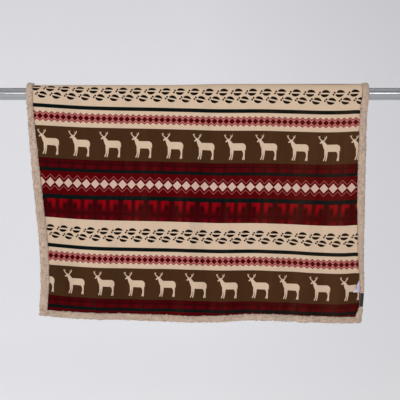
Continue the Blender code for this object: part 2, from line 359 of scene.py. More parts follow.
# %% The print's ruler
REPEAT = 0.631
DEER_PITCH = 0.1385
PrintRow = namedtuple("PrintRow", "x hoofs stripe_1 brown_top brown_end stripe_3 repeat_end "
                                  "stripe_4 low_brown_top low_brown_end stripe_5")
PRINT_V = PrintRow(0.0, 0.0665, 0.1325, 0.222, 0.367, 0.5325, REPEAT,
                   REPEAT + 0.1325, REPEAT + 0.222, REPEAT + 0.367, REPEAT + 0.415)
PRINT_ROWS = (
    PrintRow(-0.688, 0.008, -0.055, -0.144, -0.287, -0.458,
             -0.550, -0.672, -0.760, -0.894, -0.942),
    PrintRow(-0.444, -0.005, -0.069, -0.154, -0.297, -0.463,
             -0.563, -0.689, -0.774, -0.911, -0.957),
    PrintRow(-0.178, -0.009, -0.074, -0.161, -0.307, -0.473,
             -0.572, -0.698, -0.782, -0.920, -0.966),
    PrintRow(0.000, -0.010, -0.076, -0.163, -0.310, -0.476,
             -0.576, -0.702, -0.786, -0.923, -0.969),
    PrintRow(0.266, -0.015, -0.082, -0.169, -0.314, -0.479,
             -0.579, -0.704, -0.789, -0.928, -0.971),
    PrintRow(0.444, -0.018, -0.085, -0.172, -0.315, -0.484,
             -0.585, -0.710, -0.794, -0.932, -0.975),
    PrintRow(0.644, -0.018, -0.085, -0.172, -0.316, -0.486,
             -0.589, -0.718, -0.802, -0.937, -0.980),
)
SagRow = namedtuple("SagRow", "x down")
SAGS = (
    SagRow(-0.70, -0.0015),
    SagRow(-0.52, 0.0018),
    SagRow(-0.38, 0.0006),
    SagRow(-0.22, -0.0014),
    SagRow(-0.04, -0.0008),
    SagRow(0.06, 0.0008),
    SagRow(0.14, 0.0000),
    SagRow(0.27, -0.0020),
    SagRow(0.40, 0.0000),
    SagRow(0.55, 0.0030),
    SagRow(0.64, 0.0004),
    SagRow(0.69, -0.0040),
)
SAG_AT_ROD = 0.7
SAG_GROWTH = 0.6
DeerPlace = namedtuple("DeerPlace", "number upper_x lower_x")
DEER_PLACES = (
    DeerPlace(1, -0.582, -0.596),
    DeerPlace(4, -0.167, -0.192),
    DeerPlace(7, 0.250, 0.221),
    DeerPlace(10, 0.671, 0.633),
)
ShiftRow = namedtuple("ShiftRow", "x right")
BAND_SHIFTS = (
    ShiftRow(-0.69, 0.0095),
    ShiftRow(-0.62, 0.0065),
    ShiftRow(-0.55, 0.0033),
    ShiftRow(-0.44, 0.0018),
    ShiftRow(-0.31, 0.0000),
    ShiftRow(0.00, -0.0024),
    ShiftRow(0.30, -0.0046),
    ShiftRow(0.69, -0.0066),
)
BAND_START = (0.50, 0.58)
BAND_END = (0.715, 0.765)
UPPER_ROW_Z = -0.165
LOWER_ROW_Z = -0.790
ROW_BEND = 3


def print_line_heights(x):
    """Heights of the print's lines at points across the front, one row for each line."""
    lines = []
    for name in PrintRow._fields[1:]:
        curve = np.polyfit(column(PRINT_ROWS, "x"), column(PRINT_ROWS, name), ROW_BEND)
        lines.append(np.polyval(curve, x))
    return np.array(lines)


def print_v(x, z):
    """How far down the print points of the front are; the sag grows downwards."""
    heights = print_line_heights(x.ravel())
    sag = read_off(column(SAGS, "x"), column(SAGS, "down"), x.ravel())
    down = -z.ravel() - sag * (SAG_AT_ROD - SAG_GROWTH * z.ravel())
    values = np.array(PRINT_V[1:])
    v = read_off(-heights, values, down)
    above = -heights[0] - down
    below = down + heights[-1]
    v = np.where(above > 0.0, values[0] - above, v)
    return np.where(below > 0.0, values[-1] + below, v).reshape(x.shape)


def print_u(x, z):
    """How far along a row of deer points of the front are."""
    band = ease(-z, *BAND_START) * (1.0 - ease(-z, *BAND_END))
    x = x - band * read_off(column(BAND_SHIFTS, "x"), column(BAND_SHIFTS, "right"), x)
    numbers = column(DEER_PLACES, "number")
    upper = np.polyval(np.polyfit(column(DEER_PLACES, "upper_x"), numbers, ROW_BEND), x)
    lower = np.polyval(np.polyfit(column(DEER_PLACES, "lower_x"), numbers, ROW_BEND), x)
    down = (z - UPPER_ROW_Z) / (LOWER_ROW_Z - UPPER_ROW_Z)
    return DEER_PITCH * (upper + (lower - upper) * down)


def print_place(across, along):
    """Print coordinates u and v of points of the printed cloth."""
    drop = front_drop(across)
    share = np.clip((drop - along) / drop, 0.0, 1.0)
    x = x_at(across, share)
    z = np.minimum(along - drop, 0.0)
    v = print_v(x, z)
    over = np.clip(along - drop, 0.0, TURN_LENGTH) / TURN_LENGTH
    v = v - math.pi * (TURN_RADIUS + FACE_FRONT) * over
    v = v - np.maximum(along - drop - TURN_LENGTH, 0.0)
    return np.stack((print_u(x, z), v), axis=-1)


print("print at the top of the middle:", print_place(np.array([1.5]), np.array([1.02])))

# %% [markdown]
# Shader maths reads best as plain formulas. This small class wraps the output of a node,
# and its operators add Math nodes, so `1 - mask` or `abs(u) * 2` builds the tree. Every
# other node comes from one method, which sets the node's settings before its sockets. The
# functions after it draw soft-edged masks, which are 1 on the motif and 0 off it.

# %% A workbench for materials
Noise = namedtuple("Noise", "scale detail roughness")
Bump = namedtuple("Bump", "strength distance")


class Wire:
    """The output of a node, with arithmetic that adds Math nodes."""

    def __init__(self, bench, socket):
        self.bench = bench
        self.socket = socket

    def math(self, operation, *values, clamp=False):
        settings = {"operation": operation, "use_clamp": clamp}
        return self.bench.add("ShaderNodeMath", settings, dict(enumerate((self, *values))))

    def clamped(self):
        return self.math("ADD", 0.0, clamp=True)

    def __add__(self, other):
        return self.math("ADD", other)

    __radd__ = __add__

    def __mul__(self, other):
        return self.math("MULTIPLY", other)

    __rmul__ = __mul__

    def __sub__(self, other):
        return self.math("SUBTRACT", other)

    def __rsub__(self, other):
        return (self * -1.0) + other

    def __pow__(self, other):
        return self.math("POWER", other)

    def __abs__(self):
        return self.math("ABSOLUTE")


class Bench:
    """One material's node tree and the method that adds any node to it."""

    def __init__(self, name, **fixed):
        self.material = bpy.data.materials.new(name)
        self.material.use_nodes = True
        self.tree = self.material.node_tree
        self.surface = self.tree.nodes["Principled BSDF"]
        for socket, value in fixed.items():
            self.surface.inputs[socket.replace("_", " ")].default_value = value

    def add(self, kind, settings=None, values=None, output=0):
        node = self.tree.nodes.new(kind)
        for name, value in (settings or {}).items():
            setattr(node, name, value)
        for socket, value in (values or {}).items():
            self.put(node.inputs[socket], value)
        return Wire(self, node.outputs[output])

    def put(self, socket, value):
        if isinstance(value, Wire):
            self.tree.links.new(value.socket, socket)
        else:
            socket.default_value = value

    def feed(self, socket, value):
        self.put(self.surface.inputs[socket], value)

    def spot(self):
        return self.add("ShaderNodeTexCoord", output="Object")

    def part(self, vector, axis):
        return self.add("ShaderNodeSeparateXYZ", None, {0: vector}, output=axis)

    def stretch(self, vector, scale):
        return self.add("ShaderNodeMapping", None, {"Vector": vector, "Scale": scale})

    def mix(self, share, first, second):
        settings = {"data_type": "RGBA"}
        return self.add("ShaderNodeMix", settings, {0: share, 6: first, 7: second}, output=2)

    def noise(self, place, kind):
        values = {"Vector": place, "Scale": kind.scale, "Detail": kind.detail,
                  "Roughness": kind.roughness}
        return self.add("ShaderNodeTexNoise", None, values)

    def bump(self, height, kind, under=None):
        values = {"Height": height, "Strength": kind.strength, "Distance": kind.distance}
        if under is not None:
            values["Normal"] = under
        return self.add("ShaderNodeBump", None, values)


def smaller(first, second):
    """The lesser of two wires."""
    return first.math("MINIMUM", second)


def larger(first, second):
    """The greater of two wires."""
    return first.math("MAXIMUM", second)


def inside(distance, edge):
    """1 where a signed distance is well below 0, 0 where it is well above, soft between."""
    return (0.5 - distance * (1.0 / edge)).clamped()


def before(value, end, edge):
    """1 up to the end, 0 past it."""
    return inside(value - end, edge)


def beyond(value, start, edge):
    """0 up to the start, 1 past it."""
    return inside(start - value, edge)


def between(value, start, end, edge):
    """1 between two values, with soft sides."""
    return inside(abs(value - (start + end) / 2.0) - (end - start) / 2.0, edge)


def wave(value, pitch, phase):
    """0 at the phase and after each whole pitch, rising evenly to 1 half-way."""
    return (value - phase).math("PINGPONG", pitch / 2.0) * (2.0 / pitch)


def wrapped(value, pitch, start=0.0):
    """The value's place within its pitch, from the start on."""
    return (value - start).math("FLOORED_MODULO", pitch) + start


def linear(red, green, blue):
    """A colour given as it looks on a screen, 0 to 255, as linear numbers."""
    parts = [part / 255.0 for part in (red, green, blue)]
    return (*(p / 12.92 if p <= 0.04045 else ((p + 0.055) / 1.055) ** 2.4 for p in parts), 1.0)


print("workbench ready")

# %% [markdown]
# The print is drawn by distances, not by a picture, so it stays sharp from any view. A
# stag is a union of tapered limbs: each is a line with a radius at both ends, and the
# shader takes the smallest distance to any of them. The limbs are laid out in metres from
# the tip of the left antler. A print on plush has slightly furry edges, so the point that
# is looked up wanders by half a millimetre.

# %% Drawing the stag
Limb = namedtuple("Limb", "x_start y_start x_end y_end start_radius end_radius")
DEER_LIMBS = (
    # antlers and their tines
    Limb(0.0030, -0.0065, 0.0078, -0.0165, 0.0013, 0.0018),
    Limb(0.0078, -0.0165, 0.0160, -0.0250, 0.0018, 0.0021),
    Limb(0.0090, -0.0050, 0.0070, -0.0125, 0.0010, 0.0014),
    Limb(0.0375, -0.0050, 0.0365, -0.0125, 0.0013, 0.0018),
    Limb(0.0365, -0.0125, 0.0265, -0.0250, 0.0018, 0.0021),
    Limb(0.0295, -0.0090, 0.0332, -0.0165, 0.0010, 0.0014),
    # head, muzzle and ear
    Limb(0.0200, -0.0285, 0.0103, -0.0362, 0.0048, 0.0027),
    Limb(0.0240, -0.0275, 0.0285, -0.0260, 0.0024, 0.0012),
    # neck and chest
    Limb(0.0205, -0.0290, 0.0350, -0.0545, 0.0048, 0.0115),
    Limb(0.0340, -0.0560, 0.0380, -0.0650, 0.0090, 0.0100),
    # body and tail
    Limb(0.0440, -0.0592, 0.0810, -0.0592, 0.0156, 0.0160),
    Limb(0.0935, -0.0560, 0.0955, -0.0720, 0.0026, 0.0012),
    # front legs
    Limb(0.0322, -0.0690, 0.0308, -0.0990, 0.0042, 0.0024),
    Limb(0.0308, -0.0990, 0.0245, -0.1140, 0.0024, 0.0023),
    Limb(0.0398, -0.0690, 0.0378, -0.0990, 0.0044, 0.0024),
    Limb(0.0378, -0.0990, 0.0340, -0.1148, 0.0024, 0.0022),
    # hind legs
    Limb(0.0845, -0.0660, 0.0893, -0.0850, 0.0088, 0.0038),
    Limb(0.0893, -0.0850, 0.0885, -0.1000, 0.0038, 0.0029),
    Limb(0.0875, -0.1000, 0.0832, -0.1145, 0.0024, 0.0023),
    Limb(0.0898, -0.1000, 0.0893, -0.1150, 0.0023, 0.0021),
)
DEER_LEAN = 0.05
DEER_SHIFT = 0.0046
LOWER_DEER_SHIFT = 0.008


def limb_distance(bench, point, limb):
    """Signed distance from a point to a tapered limb."""
    run = (limb.x_end - limb.x_start, limb.y_end - limb.y_start)
    length_squared = run[0] ** 2 + run[1] ** 2
    subtract = {"operation": "SUBTRACT"}
    away = bench.add("ShaderNodeVectorMath", subtract,
                     {0: point, 1: (limb.x_start, limb.y_start, 0.0)})
    weights = (run[0] / length_squared, run[1] / length_squared, 0.0)
    share = bench.add("ShaderNodeVectorMath", {"operation": "DOT_PRODUCT"},
                      {0: away, 1: weights}, output="Value")
    share = share.clamped()
    nearest = bench.add("ShaderNodeVectorMath", {"operation": "SCALE"},
                        {0: (run[0], run[1], 0.0), "Scale": share})
    distance = bench.add("ShaderNodeVectorMath", {"operation": "DISTANCE"},
                         {0: away, 1: nearest}, output="Value")
    taper = limb.end_radius - limb.start_radius
    return distance - share.math("MULTIPLY_ADD", taper, limb.start_radius)


def draw_deer(bench, point, edge):
    """The stag's mask at a point given in the stag's own metres."""
    distance = limb_distance(bench, point, DEER_LIMBS[0])
    for limb in DEER_LIMBS[1:]:
        distance = smaller(distance, limb_distance(bench, point, limb))
    return inside(distance, edge)


print(len(DEER_LIMBS), "limbs to a stag")

# %% [markdown]
# The other motifs are sums of folded numbers. `wave` folds a row into one repeat, so a
# diamond is where the folded distances sideways and upwards add up to less than one, and a
# zigzag is a thin line whose height follows the same wave. A hoof print is two halves,
# round at the heel and pointed at the tip, with two small dew claws behind them.

# %% Drawing hoof prints, diamonds and zigzags
HOOF_PITCH = 0.0637
HOOF_ROWS_V = (0.0495, 0.0833)
HOOF_ROWS_U = (0.0538, 0.0180)
HOOF_HALF_LENGTH = 0.0180
HOOF_HALF_THICK = 0.0128
HOOF_CLEFT = 0.0064
HOOF_LEAN = 0.0025
HOOF_MARGIN = 0.6
ROW_EDGE = 0.0001
HOOF_TILT = 0.19
HOOF_TAPER = 0.6
CLAW_BACK = 0.0264
CLAW_SIDE = 0.0044
CLAW_RADIUS = 0.0044
Diamond = namedtuple("Diamond", "half_width half_height")
SMALL_DIAMOND = Diamond(1.06, 0.0142)
LARGE_DIAMOND = Diamond(0.97, 0.0208)
Zigzag = namedtuple("Zigzag", "peak valley thickness")
SMALL_GROUND = Zigzag(0.0180, 0.0078, 0.0122)
SMALL_LINE = Zigzag(0.0216, 0.0114, 0.0048)
LARGE_LINE = Zigzag(0.0338, 0.0140, 0.0026)


def draw_hoof(bench, x, y, edge):
    """One hoof print's mask; x runs towards its tips and y across its cleft."""
    leaned = x + y.math("SIGN") * HOOF_LEAN
    run = (leaned * (1.0 / HOOF_HALF_LENGTH)).math("MAXIMUM", -1.0).math("MINIMUM", 1.0)
    swell = (1.0 - run) ** HOOF_TAPER * (run + 1.0).math("SQRT") * HOOF_HALF_THICK
    off = abs(y) - HOOF_CLEFT / 2.0
    half = larger(off - swell, off * -1.0)
    half = larger(half, abs(leaned) - HOOF_HALF_LENGTH)
    claw_x = leaned + CLAW_BACK
    claw_y = abs(y) - CLAW_SIDE
    claw = (claw_x * claw_x + claw_y * claw_y).math("SQRT") - CLAW_RADIUS
    return inside(smaller(half, claw), edge)


def draw_diamond(u_wave, v_off, shape, edge):
    """Diamonds at each 0 of the wave; half_width is a share of half the pitch."""
    off = u_wave * (1.0 / shape.half_width) + abs(v_off) * (1.0 / shape.half_height)
    return inside((off - 1.0) * shape.half_height, edge)


def draw_zigzag(u_wave, v_off, shape, edge):
    """A zigzag above and one below a row, with peaks at each 0 of the wave."""
    line = abs(abs(v_off) - shape.peak + u_wave * (shape.peak - shape.valley))
    return inside(line - shape.thickness / 2.0, edge)


print("hoof prints every", HOOF_PITCH, "m")

# %% [markdown]
# A print of this kind uses a dozen dyes at most, laid down in bands. The bands are pairs of
# heights within one repeat, in metres down from its start, and the motifs have a pitch, a
# phase and the height of their middle. The colours are given as they look on a screen.

# %% Dyes and bands of the print
BEIGE = linear(212, 186, 159)
ROSE_BEIGE = linear(208, 175, 157)
BROWN = linear(69, 44, 25)
MAROON = linear(81, 3, 7)
PINE = linear(11, 20, 19)
PRINT_PINK = linear(134, 36, 44)
ZIGZAG_MAUVE = linear(184, 108, 104)
ZIGZAG_PINK = linear(200, 100, 98)
HOOF_DARK = linear(14, 12, 10)
PLAID_DARK = linear(46, 5, 5)
PLAID_MIDDLE = linear(72, 5, 11)
PLAID_BRIGHT = linear(136, 4, 14)
STRIPE_1 = (0.1240, 0.1414)
BROWN_BAND = (0.2220, 0.3670)
NARROW_PLAID = (0.3670, 0.4080)
STRIPE_2 = (0.4080, 0.4215)
MAROON_BAND = (0.4215, 0.5222)
STRIPE_3 = (0.5222, 0.5412)
WIDE_PLAID = (0.5412, REPEAT)
SMALL_PITCH = 0.02583
SMALL_PHASE = 0.0085
SMALL_ROW_V = 0.1798
SMALL_JOINING = 0.0017
LARGE_PITCH = 0.0407
LARGE_PHASE = 0.0190
LARGE_ROW_V = 0.4710
LARGE_LINE_INK = 0.8
DEER_TOP_V = 0.2350
DEER_MARGIN = 0.02
PRINT_EDGE = 0.0012
print("one repeat is", REPEAT, "m of cloth")

# %% [markdown]
# The plaids are soft blocks of brighter and darker red. The wide one repeats a pair of
# bright angle shapes beside a thin dark line; the narrow one is two rows of blocks. Both
# share one grid. A Block is a start, an end and the softness of its sides, and a pair is
# one limit and its softness, all in metres.

# %% The two plaids
PLAID_PITCH = 0.1147
PLAID_PHASE = 0.0930
NARROW_PHASE = 0.0991
Block = namedtuple("Block", "start end edge")
ANGLE_LEG = Block(0.0098, 0.0248, 0.007)
ANGLE_LEG_END = (0.036, 0.030)
ANGLE_BAR = Block(0.0098, 0.0455, 0.006)
ANGLE_BAR_END = (0.0155, 0.009)
ANGLE_BAR_FADE = (0.0260, 0.02)
ANGLE_FADE = 0.35
ANGLE_FOOT = Block(0.0090, 0.0265, 0.004)
ANGLE_FOOT_START = (0.0740, 0.010)
UNDER_ANGLE_INK = 0.8
UNDER_ANGLE_SIDE = Block(0.0270, 0.0420, 0.006)
UNDER_ANGLE_DOWN = Block(0.022, 0.046, 0.01)
COLUMN_HALF = (0.0475, 0.007)
COLUMN_SHADE = 0.8
COLUMN_FADE = 5.0
THIN_LINE = (0.0022, 0.004)
THIN_LINE_INK = 0.9
CROSS_LINE = Block(0.0550, 0.0650, 0.010)
CROSS_LINE_INK = 0.7
UPPER_BLOCKS = Block(0.002, 0.0160, 0.006)
UPPER_BLOCKS_INK = 0.75
LOWER_BLOCKS = Block(0.0215, 0.0400, 0.006)
BLOCK_GAP = (0.13, 0.14)
BLOCK_GAP_INK = 0.25
BLOCK_MIDDLE = (0.6, 0.3)
BLOCK_MIDDLE_INK = 0.1


def wide_plaid(bench, u, down):
    """Colour of the wide plaid; down is metres below its top."""
    side = abs(wrapped(u - PLAID_PHASE, PLAID_PITCH, -PLAID_PITCH / 2.0))
    leg = between(side, *ANGLE_LEG) * before(down, *ANGLE_LEG_END)
    bar = between(side, *ANGLE_BAR) * before(down, *ANGLE_BAR_END)
    bar = bar * (1.0 - beyond(side, *ANGLE_BAR_FADE) * ANGLE_FADE)
    foot = between(side, *ANGLE_FOOT) * beyond(down, *ANGLE_FOOT_START) * ANGLE_FADE
    bright = larger(larger(leg, bar), foot)
    column = beyond(side, *COLUMN_HALF) * (COLUMN_SHADE - down * COLUMN_FADE)
    dark = larger(before(side, *THIN_LINE) * THIN_LINE_INK, column)
    dark = larger(dark, between(down, *CROSS_LINE) * CROSS_LINE_INK)
    under = between(side, *UNDER_ANGLE_SIDE) * between(down, *UNDER_ANGLE_DOWN)
    dark = larger(dark, under * UNDER_ANGLE_INK)
    colour = bench.mix(dark, PLAID_MIDDLE, PLAID_DARK)
    return bench.mix(bright, colour, PLAID_BRIGHT)


def narrow_plaid(bench, u, down):
    """Colour of the narrow plaid; down is metres below its top."""
    side = wave(u, PLAID_PITCH / 2.0, NARROW_PHASE)
    block = beyond(side, *BLOCK_GAP) * (1.0 - BLOCK_GAP_INK) + BLOCK_GAP_INK
    upper = block * between(down, *UPPER_BLOCKS) * UPPER_BLOCKS_INK
    lower = block * between(down, *LOWER_BLOCKS)
    colour = bench.mix(larger(upper, lower), PLAID_DARK, PLAID_MIDDLE)
    middle = lower * beyond(side, *BLOCK_MIDDLE) * BLOCK_MIDDLE_INK
    return bench.mix(middle, colour, PLAID_BRIGHT)


print("plaid pitch", PLAID_PITCH, "m")

# %% [markdown]
# The whole print is laid from the top of the repeat down. Each band starts at its height
# and covers what was there, so only its upper edge needs a mask, and the motifs are mixed
# in over their own band. The lower row of deer stands a little further along than the
# upper one, so the number of the repeat shifts it.

# %% The whole print
def print_colour(bench, u, all_v):
    """Colour of the print at print coordinates, where v runs on through the repeats."""
    edge = PRINT_EDGE
    v = wrapped(all_v, REPEAT)
    upper = before(v, sum(HOOF_ROWS_V) / 2.0, ROW_EDGE)
    hoof_u = upper * (HOOF_ROWS_U[0] - HOOF_ROWS_U[1]) + HOOF_ROWS_U[1]
    hoof_v = upper * (HOOF_ROWS_V[0] - HOOF_ROWS_V[1]) + HOOF_ROWS_V[1]
    tilt = (1.0 - upper) * HOOF_TILT
    hoof_x = wrapped(u - hoof_u, HOOF_PITCH, -HOOF_MARGIN * HOOF_PITCH)
    hoof_y = v - hoof_v
    hoof = draw_hoof(bench, hoof_x + hoof_y * tilt, hoof_y - hoof_x * tilt, edge)
    colour = bench.mix(hoof, BEIGE, HOOF_DARK)
    small = wave(u, SMALL_PITCH, SMALL_PHASE)
    small_v = v - SMALL_ROW_V
    ground = draw_zigzag(small, small_v, SMALL_GROUND, edge)
    colour = bench.mix(ground, colour, ZIGZAG_MAUVE)
    line = draw_zigzag(small, small_v, SMALL_LINE, edge)
    colour = bench.mix(line, colour, PRINT_PINK)
    diamond = draw_diamond(small, small_v, SMALL_DIAMOND, edge)
    joining = inside(abs(small_v) - SMALL_JOINING, edge)
    colour = bench.mix(larger(diamond, joining), colour, MAROON)
    colour = bench.mix(between(v, *STRIPE_1, edge), colour, PINE)
    repeats = (all_v - v) * (1.0 / REPEAT)
    deer_y = DEER_TOP_V - v
    deer_u = u + (repeats * LOWER_DEER_SHIFT + DEER_SHIFT)
    deer_x = wrapped(deer_u, DEER_PITCH, -DEER_MARGIN) + deer_y * DEER_LEAN
    point = bench.add("ShaderNodeCombineXYZ", None, {0: deer_x, 1: deer_y})
    brown = bench.mix(draw_deer(bench, point, edge), BROWN, BEIGE)
    colour = bench.mix(beyond(v, BROWN_BAND[0], edge), colour, brown)
    colour = bench.mix(beyond(v, NARROW_PLAID[0], edge), colour,
                       narrow_plaid(bench, u, v - NARROW_PLAID[0]))
    colour = bench.mix(beyond(v, STRIPE_2[0], edge), colour, PINE)
    large = wave(u, LARGE_PITCH, LARGE_PHASE)
    large_v = v - LARGE_ROW_V
    zigzag = draw_zigzag(large, large_v, LARGE_LINE, edge)
    diamond = draw_diamond(large, large_v, LARGE_DIAMOND, edge)
    maroon = bench.mix(zigzag * LARGE_LINE_INK, MAROON, ZIGZAG_PINK)
    maroon = bench.mix(diamond, maroon, ROSE_BEIGE)
    colour = bench.mix(beyond(v, MAROON_BAND[0], edge), colour, maroon)
    colour = bench.mix(beyond(v, STRIPE_3[0], edge), colour, PINE)
    plaid = wide_plaid(bench, u, v - WIDE_PLAID[0])
    return bench.mix(beyond(v, WIDE_PLAID[0], edge), colour, plaid)


print("bands:", BROWN_BAND, MAROON_BAND, WIDE_PLAID)

# %% [markdown]
# The fleece itself is short plush. Its nap lies in patches, which lighten and darken the
# dye a little in upright streaks; these finer streaks are noise. The broad streaks are
# painted shade and painted highlights of the folds, listed along the throw and lighter
# towards the right, and two fine bumps give the pile its soft grain.

# %% The printed fleece
# Painted shade (below 0) and painted highlights (above 0) of the folds, lighter towards the
# right.
PaintedFoldShading = namedtuple("PaintedFoldShading", "u shade")
PAINTED_FOLD_SHADING = (
    PaintedFoldShading(0.00, 0.0),
    PaintedFoldShading(0.147, -0.5),
    PaintedFoldShading(0.263, 0.3),
    PaintedFoldShading(0.365, -0.45),
    PaintedFoldShading(0.454, 0.4),
    PaintedFoldShading(0.578, -0.3),
    PaintedFoldShading(0.667, 0.5),
    PaintedFoldShading(0.738, -0.8),
    PaintedFoldShading(0.813, 0.6),
    PaintedFoldShading(0.942, -0.4),
    PaintedFoldShading(1.031, 0.7),
    PaintedFoldShading(1.106, -0.1),
    PaintedFoldShading(1.182, 0.9),
    PaintedFoldShading(1.271, 0.0),
    PaintedFoldShading(1.324, 0.9),
    PaintedFoldShading(1.410, 0.3),
)
PAINTED_SHADING_LENGTH = 1.5
NAP_STRETCH = (1.0, 0.10, 1.0)
NAP = Noise(26.0, 3.0, 0.55)
NAP_PATCHES = Noise(9.0, 2.0, 0.5)
PAINTED_SHADING_WEIGHT = 0.8
NAP_WEIGHT = 1.2
PATCH_WEIGHT = 0.5
# A golden painted sheen highlight and a painted shade, mixed in together with the nap's own
# tone.
NAP_AND_SHEEN_LIGHT = linear(160, 108, 70)
NAP_AND_SHEEN_LIGHTENS = 0.07
NAP_AND_SHADE_DARK = linear(12, 8, 8)
NAP_AND_SHADE_DARKENS = 0.22
GRAIN = Noise(1400.0, 2.0, 0.6)
GRAIN_BUMP = Bump(0.35, 0.0006)
PILE = Noise(160.0, 3.0, 0.6)
PILE_BUMP = Bump(0.35, 0.0015)
FUR_WANDER = 0.0010
FUR_SCALE = 900.0


def painted_fold_streaks(bench, u):
    """Painted shade and painted highlights of the folds as listed streaks, -1 dark to 1 light,
    as one smooth ramp.
    """
    wire = bench.add("ShaderNodeValToRGB", None, {"Fac": u * (1.0 / PAINTED_SHADING_LENGTH)})
    ramp = wire.socket.node.color_ramp
    ramp.interpolation = "B_SPLINE"
    while len(ramp.elements) < len(PAINTED_FOLD_SHADING):
        ramp.elements.new(0.5)
    for element, streak in zip(ramp.elements, PAINTED_FOLD_SHADING):
        element.position = streak.u / PAINTED_SHADING_LENGTH
        grey = 0.5 + 0.5 * streak.shade
        element.color = (grey, grey, grey, 1.0)
    return wire * 2.0 - 1.0


def make_fleece():
    """The printed plush."""
    bench = Bench("printed_fleece", Roughness=0.9, Sheen_Weight=0.01, Sheen_Roughness=0.5,
                  Specular_IOR_Level=0.01)
    ruler = bench.add("ShaderNodeUVMap", {"uv_map": "print"})
    wander = bench.add("ShaderNodeTexNoise", {"noise_dimensions": "2D"},
                       {"Vector": ruler, "Scale": FUR_SCALE, "Detail": 1.0}, output="Color")
    wander = bench.add("ShaderNodeVectorMath", {"operation": "SUBTRACT"},
                       {0: wander, 1: (0.5, 0.5, 0.5)})
    moved = bench.add("ShaderNodeVectorMath", {"operation": "MULTIPLY_ADD"},
                      {0: wander, 1: (FUR_WANDER, FUR_WANDER, 0.0), 2: ruler})
    u = bench.part(moved, "X")
    v = bench.part(moved, "Y")
    colour = print_colour(bench, u, v)
    streaks = bench.stretch(ruler, NAP_STRETCH)
    # The listed streaks are painted fold shade and painted highlights; the noise after them is
    # the nap's own tone.
    shade = painted_fold_streaks(bench, u) * PAINTED_SHADING_WEIGHT
    shade = shade + (bench.noise(streaks, NAP) - 0.5) * NAP_WEIGHT
    shade = shade + (bench.noise(ruler, NAP_PATCHES) - 0.5) * PATCH_WEIGHT
    lighter = shade.math("MAXIMUM", 0.0)
    darker = (shade * -1.0).math("MAXIMUM", 0.0)
    # lighter mixes in the golden painted sheen highlight, darker mixes in painted shade; both
    # also carry the nap's tone.
    colour = bench.mix(lighter * NAP_AND_SHEEN_LIGHTENS, colour, NAP_AND_SHEEN_LIGHT)
    colour = bench.mix(darker * NAP_AND_SHADE_DARKENS, colour, NAP_AND_SHADE_DARK)
    bench.feed("Base Color", colour)
    normal = bench.bump(bench.noise(ruler, GRAIN), GRAIN_BUMP)
    normal = bench.bump(bench.noise(streaks, PILE), PILE_BUMP, normal)
    bench.feed("Normal", normal)
    return bench.material


fleece = make_fleece()
print("fleece has", len(fleece.node_tree.nodes), "nodes")

# %% [markdown]
# The printed cloth is one fine grid on the front, over the rod and down the back, closed
# with an inner side and a thin rim. Each corner of a face carries the print's coordinates.
# A second map lays the outside out flat for baking, with most of its room for the front.

# %% The printed face
FACE_CELLS = 296
FRONT_CELLS = 82
TURN_CELLS = 18
BACK_CELLS = 48
TOP_LOOSE = 0.0045
TOP_LOOSE_FROM = (0.40, 0.60)
FRONT_MAP_SHARE = 0.64
MAP_EDGE = 0.004
OUTSIDE_MAP_WIDTH = 0.94


def rows_along(across, start, end, cells):
    """Lengths along the cloth of a grid's rows, for each line across."""
    drop = front_drop(across)[:, None]
    front, turn, back = cells
    rise = np.linspace(0.0, 1.0, front, endpoint=False)[None, :]
    bend = np.linspace(0.0, 1.0, turn, endpoint=False)[None, :]
    fall = np.linspace(0.0, 1.0, back + 1)[None, :]
    over = drop + TURN_LENGTH
    return np.concatenate((start + (drop - start) * rise, drop + TURN_LENGTH * bend,
                           over + (end - over) * fall), axis=1)


def quads(columns, rows, first=0):
    """Faces of a grid of points that are numbered column by column, as an array."""
    line, row = np.meshgrid(np.arange(columns - 1), np.arange(rows - 1), indexing="ij")
    corner = first + line * rows + row
    faces = np.stack((corner, corner + rows, corner + rows + 1, corner + 1), axis=-1)
    return faces.reshape(-1, 4)


def rim_numbers(columns, rows):
    """Numbers of a grid's outer points in order round it."""
    bottom = np.arange(columns) * rows
    right = (columns - 1) * rows + np.arange(1, rows)
    top = np.arange(columns - 2, -1, -1) * rows + rows - 1
    left = np.arange(rows - 2, 0, -1)
    return np.concatenate((bottom, right, top, left))


def sheet_faces(columns, rows, first=0):
    """Faces of two grids, outer and inner, and of the rim between them."""
    count = columns * rows
    edge = first + rim_numbers(columns, rows)
    after = np.roll(edge, -1)
    rim = np.stack((edge, edge + count, after + count, after), axis=-1)
    outside = quads(columns, rows, first)
    inside_faces = quads(columns, rows, first + count)[:, ::-1]
    return np.concatenate((outside, inside_faces, rim))


def add_object(name, data):
    """A new object of the scene that holds the data."""
    thing = bpy.data.objects.new(name, data)
    bpy.context.scene.collection.objects.link(thing)
    return thing


def new_piece(name, points, faces, material, maps=None):
    """A smooth-shaded mesh object with UV maps given for every corner of its faces."""
    mesh = bpy.data.meshes.new(name)
    mesh.from_pydata([tuple(point) for point in points], [], [tuple(face) for face in faces])
    for title, places in (maps or {}).items():
        layer = mesh.uv_layers.new(name=title, do_init=False)
        layer.uv.foreach_set("vector", np.asarray(places, np.float32).ravel())
    mesh.materials.append(material)
    mesh.shade_smooth()
    mesh.update()
    return add_object(name, mesh)


